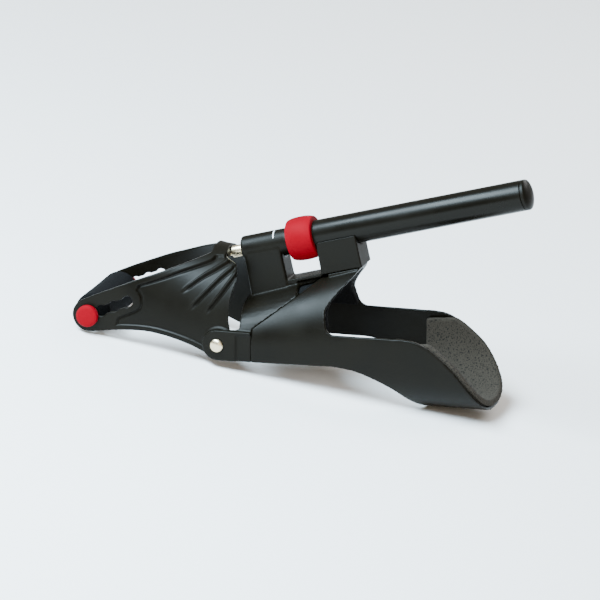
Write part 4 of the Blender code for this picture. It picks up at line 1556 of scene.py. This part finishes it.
@dataclass
class SpringRod:
    """The rod from the lever into the tube, and its collar."""

    pose: Matrix
    pin: Point
    axis: TubeAxis = field(default_factory=TubeAxis)
    radius: float = 3.0 * MM
    length: float = 72.0 * MM
    eye_radius: float = 3.9 * MM
    eye_width: float = ROD_EYE_WIDTH
    end_edge: float = 0.5 * MM
    hole: float = 1.8 * MM
    collar_radius: float = 4.9 * MM
    collar_start: float = 5.4 * MM
    collar_length: float = 9.5 * MM
    collar_edge: float = 0.6 * MM
    rod_sides: int = 48
    collar_sides: int = 64

    def place(self) -> Matrix:
        """Puts a shape turned about Z on the rod, its zero at the pin."""
        turn = Matrix.Rotation(math.pi / 2 - self.axis.angle, 4, "Y")
        return Matrix.Translation((self.pin[0], 0.0, self.pin[1])) @ turn

    def build(self) -> None:
        """Turns rod and collar and bores the eye."""
        profile = rounded_profile(
            [(0.0, self.length), (self.radius, self.length), (self.radius, 0.0), (0.0, 0.0)],
            self.end_edge,
        )
        rod = turned("spring_rod_plated", profile, self.rod_sides, self.place())
        rod.meet(Cut.ADD, drum("rod_eye", self.eye_radius, self.eye_width / 2, self.pin))
        rod.meet(Cut.REMOVE, drum("rod_eye_hole", self.hole, self.eye_width, self.pin))
        rod.finish(self.pose, NICKEL, "rod", ["spring_rod"])
        bore, rim = self.radius + GAP, self.collar_radius
        start, end = self.collar_start, self.collar_start + self.collar_length
        collar_profile = [
            (bore, end),
            *rounded_corner((bore, end), (rim, end), (rim, start), self.collar_edge),
            *rounded_corner((rim, end), (rim, start), (bore, start), self.collar_edge),
            (bore, start),
        ]
        collar = turned("rod_collar_plated", collar_profile, self.collar_sides, self.place())
        collar.finish(self.pose, NICKEL, "rod", ["rod_collar"])


# The grip


@dataclass
class Grip:
    """The bar across the noses with its foam roll and red caps."""

    pose: Matrix
    place: Point
    bar_radius: float = 4.0 * MM
    bar_end: float = BAR_END_RADIUS
    bar_shoulder: float = 43.5 * MM
    bar_edge: float = 0.3 * MM
    cheek_outer: float = CHEEK_HALF_WIDTH
    foam_radius: float = FOAM_RADIUS
    foam_half: float = 38.0 * MM
    foam_rounding: float = 3.0 * MM
    foam_waist: float = 0.12 * MM
    cap_radius: float = 8.9 * MM
    cap_height: float = 5.0 * MM
    cap_rounding: float = 1.6 * MM
    cap_dome: float = 0.35 * MM
    cap_foot: float = 0.2 * MM
    cap_room: float = 0.1 * MM
    bar_sides: int = 48
    foam_sides: int = 96
    cap_sides: int = 72

    def build_bar(self) -> None:
        """Stepped steel bar."""
        end = self.cheek_outer + GAP
        half = [
            (0.0, end), (self.bar_end, end), (self.bar_end, self.bar_shoulder),
            (self.bar_radius, self.bar_shoulder),
        ]
        far_half = [(r, -h) for r, h in reversed(half)]
        profile = rounded_profile([*half, *far_half], self.bar_edge)
        place = across(self.place, Side.NEAR)
        bar = turned("grip_bar_plated", profile, self.bar_sides, place)
        bar.finish(self.pose, NICKEL, "grip", ["grip_bar"])

    def build_foam(self) -> None:
        """Foam roll with rounded ends, a little waisted in the middle."""
        bore = self.bar_radius + GAP
        rim = arc(
            (self.foam_radius - self.foam_rounding, self.foam_half - self.foam_rounding),
            self.foam_rounding, 90, 0, 8,
        )
        run = self.foam_half - self.foam_rounding
        side = [
            (self.foam_radius - self.foam_waist * (1 - math.cos(math.pi * t)), run * (1 - t))
            for t in (i / 14 for i in range(1, 28))
        ]
        far_rim = [(r, -h) for r, h in reversed(rim)]
        profile = [(bore, self.foam_half), *rim, *side, *far_rim, (bore, -self.foam_half)]
        place = across(self.place, Side.NEAR)
        foam = turned("grip_foam_roll", profile, self.foam_sides, place)
        item = foam.finish(self.pose, DARK_FOAM, "grip", ["grip_foam"], SOFT_CREASE)

    def build_caps(self) -> None:
        """Red cap on each end of the bar, its face very slightly domed."""
        base = self.cheek_outer + 2 * GAP
        face = [
            (self.cap_radius * t, self.cap_height - self.cap_dome * t**2)
            for t in (i / 20 for i in range(20))
        ]
        rim_top = self.cap_height - self.cap_dome
        corner = rounded_corner(
            (0.0, rim_top), (self.cap_radius, rim_top), (self.cap_radius, 0.0), self.cap_rounding
        )
        face = [point for point in face if point[0] < corner[0][0] - self.cap_room]
        foot = [
            (self.cap_radius, self.cap_foot), (self.cap_radius - self.cap_foot, 0.0), (0.0, 0.0),
        ]
        profile = [*face, *corner, *foot]
        for side in Side:
            title = side.name.lower()
            place = across(self.place, side, base)
            cap = turned(f"{title}_cap_red", profile, self.cap_sides, place)
            cap.finish(self.pose, RED_PLASTIC, "grip", [f"{title}_grip_cap"])

    def build(self) -> None:
        """Builds and dresses bar, foam and caps."""
        self.build_bar()
        self.build_foam()
        self.build_caps()


# Studio


@dataclass(frozen=True)
class Softbox:
    """A soft light that faces the part and isn't seen itself.

    Attributes:
        name: The light's name.
        place: Where it hangs.
        size: Its width and height.
        power: Its power in watts.
        colour: Its colour.
    """

    name: str
    place: Triple
    size: Point
    power: float
    colour: Triple

    def hang(self, target: Vector) -> None:
        """Adds the light to the scene.

        Args:
            target: The place that it faces.
        """
        lamp = bpy.data.lights.new(self.name, "AREA")
        lamp.shape = "RECTANGLE"
        lamp.size, lamp.size_y = self.size
        lamp.energy = self.power
        lamp.color = self.colour
        item = bpy.data.objects.new(self.name, lamp)
        bpy.context.scene.collection.objects.link(item)
        item.location = self.place
        item.visible_camera = False
        aim = target - Vector(self.place)
        item.rotation_euler = aim.to_track_quat("-Z", "Y").to_euler()


@dataclass
class Studio:
    """Pale floor, soft light and a long lens at the photograph's angle."""

    pose: Matrix
    pixel: float = 0.81 * MM
    pixels: float = 600.0
    pivot_pixel: Point = (236.33, 328.63)
    distance: float = 8.0
    sensor: float = 36.0
    right: Triple = (0.957, 0.29, 0.0)
    up: Triple = (-0.0757, 0.25, 0.9653)
    back: Triple = (0.2799, -0.9238, 0.2612)
    floor_half: float = 6.0
    floor_colour: Triple = (0.95, 0.92, 0.89)
    floor_rough: float = 0.9
    lit_height: float = 80.0 * MM
    surround: Triple = (1.0, 0.95, 0.87)
    surround_strength: float = 0.47
    softboxes: tuple[Softbox, ...] = (
        Softbox("top_softbox", (-0.75, -0.75, 1.35), (1.8, 0.6), 195.0, (0.66, 0.85, 1.0)),
        Softbox("front_fill", (0.9, -1.9, 0.7), (1.4, 1.0), 9.0, (1.0, 0.84, 0.58)),
        Softbox("back_edge", (0.5, 1.3, 1.0), (1.4, 0.7), 20.0, (0.94, 0.97, 1.0)),
    )

    def build_camera(self) -> None:
        """Aims a long lens so that the wrist pivot lands on its pixel."""
        turn = self.pose.to_3x3()
        right, up, back = (
            (turn @ Vector(axis)).normalized() for axis in (self.right, self.up, self.back)
        )
        across_by = (self.pixels / 2 - self.pivot_pixel[0]) * self.pixel
        up_by = (self.pivot_pixel[1] - self.pixels / 2) * self.pixel
        target = self.pose.translation + right * across_by + up * up_by
        lens = bpy.data.cameras.new("photo_lens")
        lens.sensor_width = self.sensor
        lens.lens = self.sensor * self.distance / (self.pixels * self.pixel)
        lens.clip_end = 50.0
        camera = bpy.data.objects.new("photo_camera", lens)
        bpy.context.scene.collection.objects.link(camera)
        rotation = Matrix((right, up, back)).transposed().to_4x4()
        camera.matrix_world = Matrix.Translation(target + back * self.distance) @ rotation
        bpy.context.scene.camera = camera

    def build_floor(self) -> None:
        """A wide pale floor."""
        cage = bmesh.new()
        bmesh.ops.create_grid(cage, x_segments=2, y_segments=2, size=self.floor_half)
        mesh = bpy.data.meshes.new("studio_floor")
        cage.to_mesh(mesh)
        cage.free()
        floor = bpy.data.objects.new("studio_floor", mesh)
        bpy.context.scene.collection.objects.link(floor)
        paper = bpy.data.materials.new("pale_paper")
        paper.use_nodes = True
        shader = paper.node_tree.nodes["Principled BSDF"]
        shader.inputs["Base Color"].default_value = (*self.floor_colour, 1.0)
        shader.inputs["Roughness"].default_value = self.floor_rough
        mesh.materials.append(paper)

    def build_lights(self) -> None:
        """Cool soft light from above, a warm fill in front, one behind and an even surround."""
        world = bpy.data.worlds.new("studio_surround")
        world.use_nodes = True
        sky = world.node_tree.nodes["Background"]
        sky.inputs["Color"].default_value = (*self.surround, 1.0)
        sky.inputs["Strength"].default_value = self.surround_strength
        bpy.context.scene.world = world
        for softbox in self.softboxes:
            softbox.hang(Vector((0.0, 0.0, self.lit_height)))

    def build(self) -> None:
        """Sets up camera, floor and lights."""
        self.build_camera()
        self.build_floor()
        self.build_lights()


def corners(bounds: Sequence[Vector]) -> list[list[float]]:
    """Gives the part's lowest and highest corner as plain lists of numbers."""
    low, high = bounds
    return [[float(value) for value in low], [float(value) for value in high]]


def main() -> None:
    """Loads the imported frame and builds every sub-assembly on it, then the studio."""
    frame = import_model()
    pose = ArmPose().matrix()
    log.info("arm tilted by %.2f degrees", math.degrees(ArmPose().tilt()))
    ArmBody(pose).build(frame["nodes"])
    WristPivot(pose).build()
    SpringTube(pose).build()
    lever = HandLever(pose)
    lever.build()
    SpringRod(pose, lever.pin_place()).build()
    Grip(pose, lever.slot_place(0)).build()
    Studio(pose).build()


if __name__ == "__main__":
    logging.basicConfig(level=logging.INFO, format="%(name)s: %(message)s")
    main()
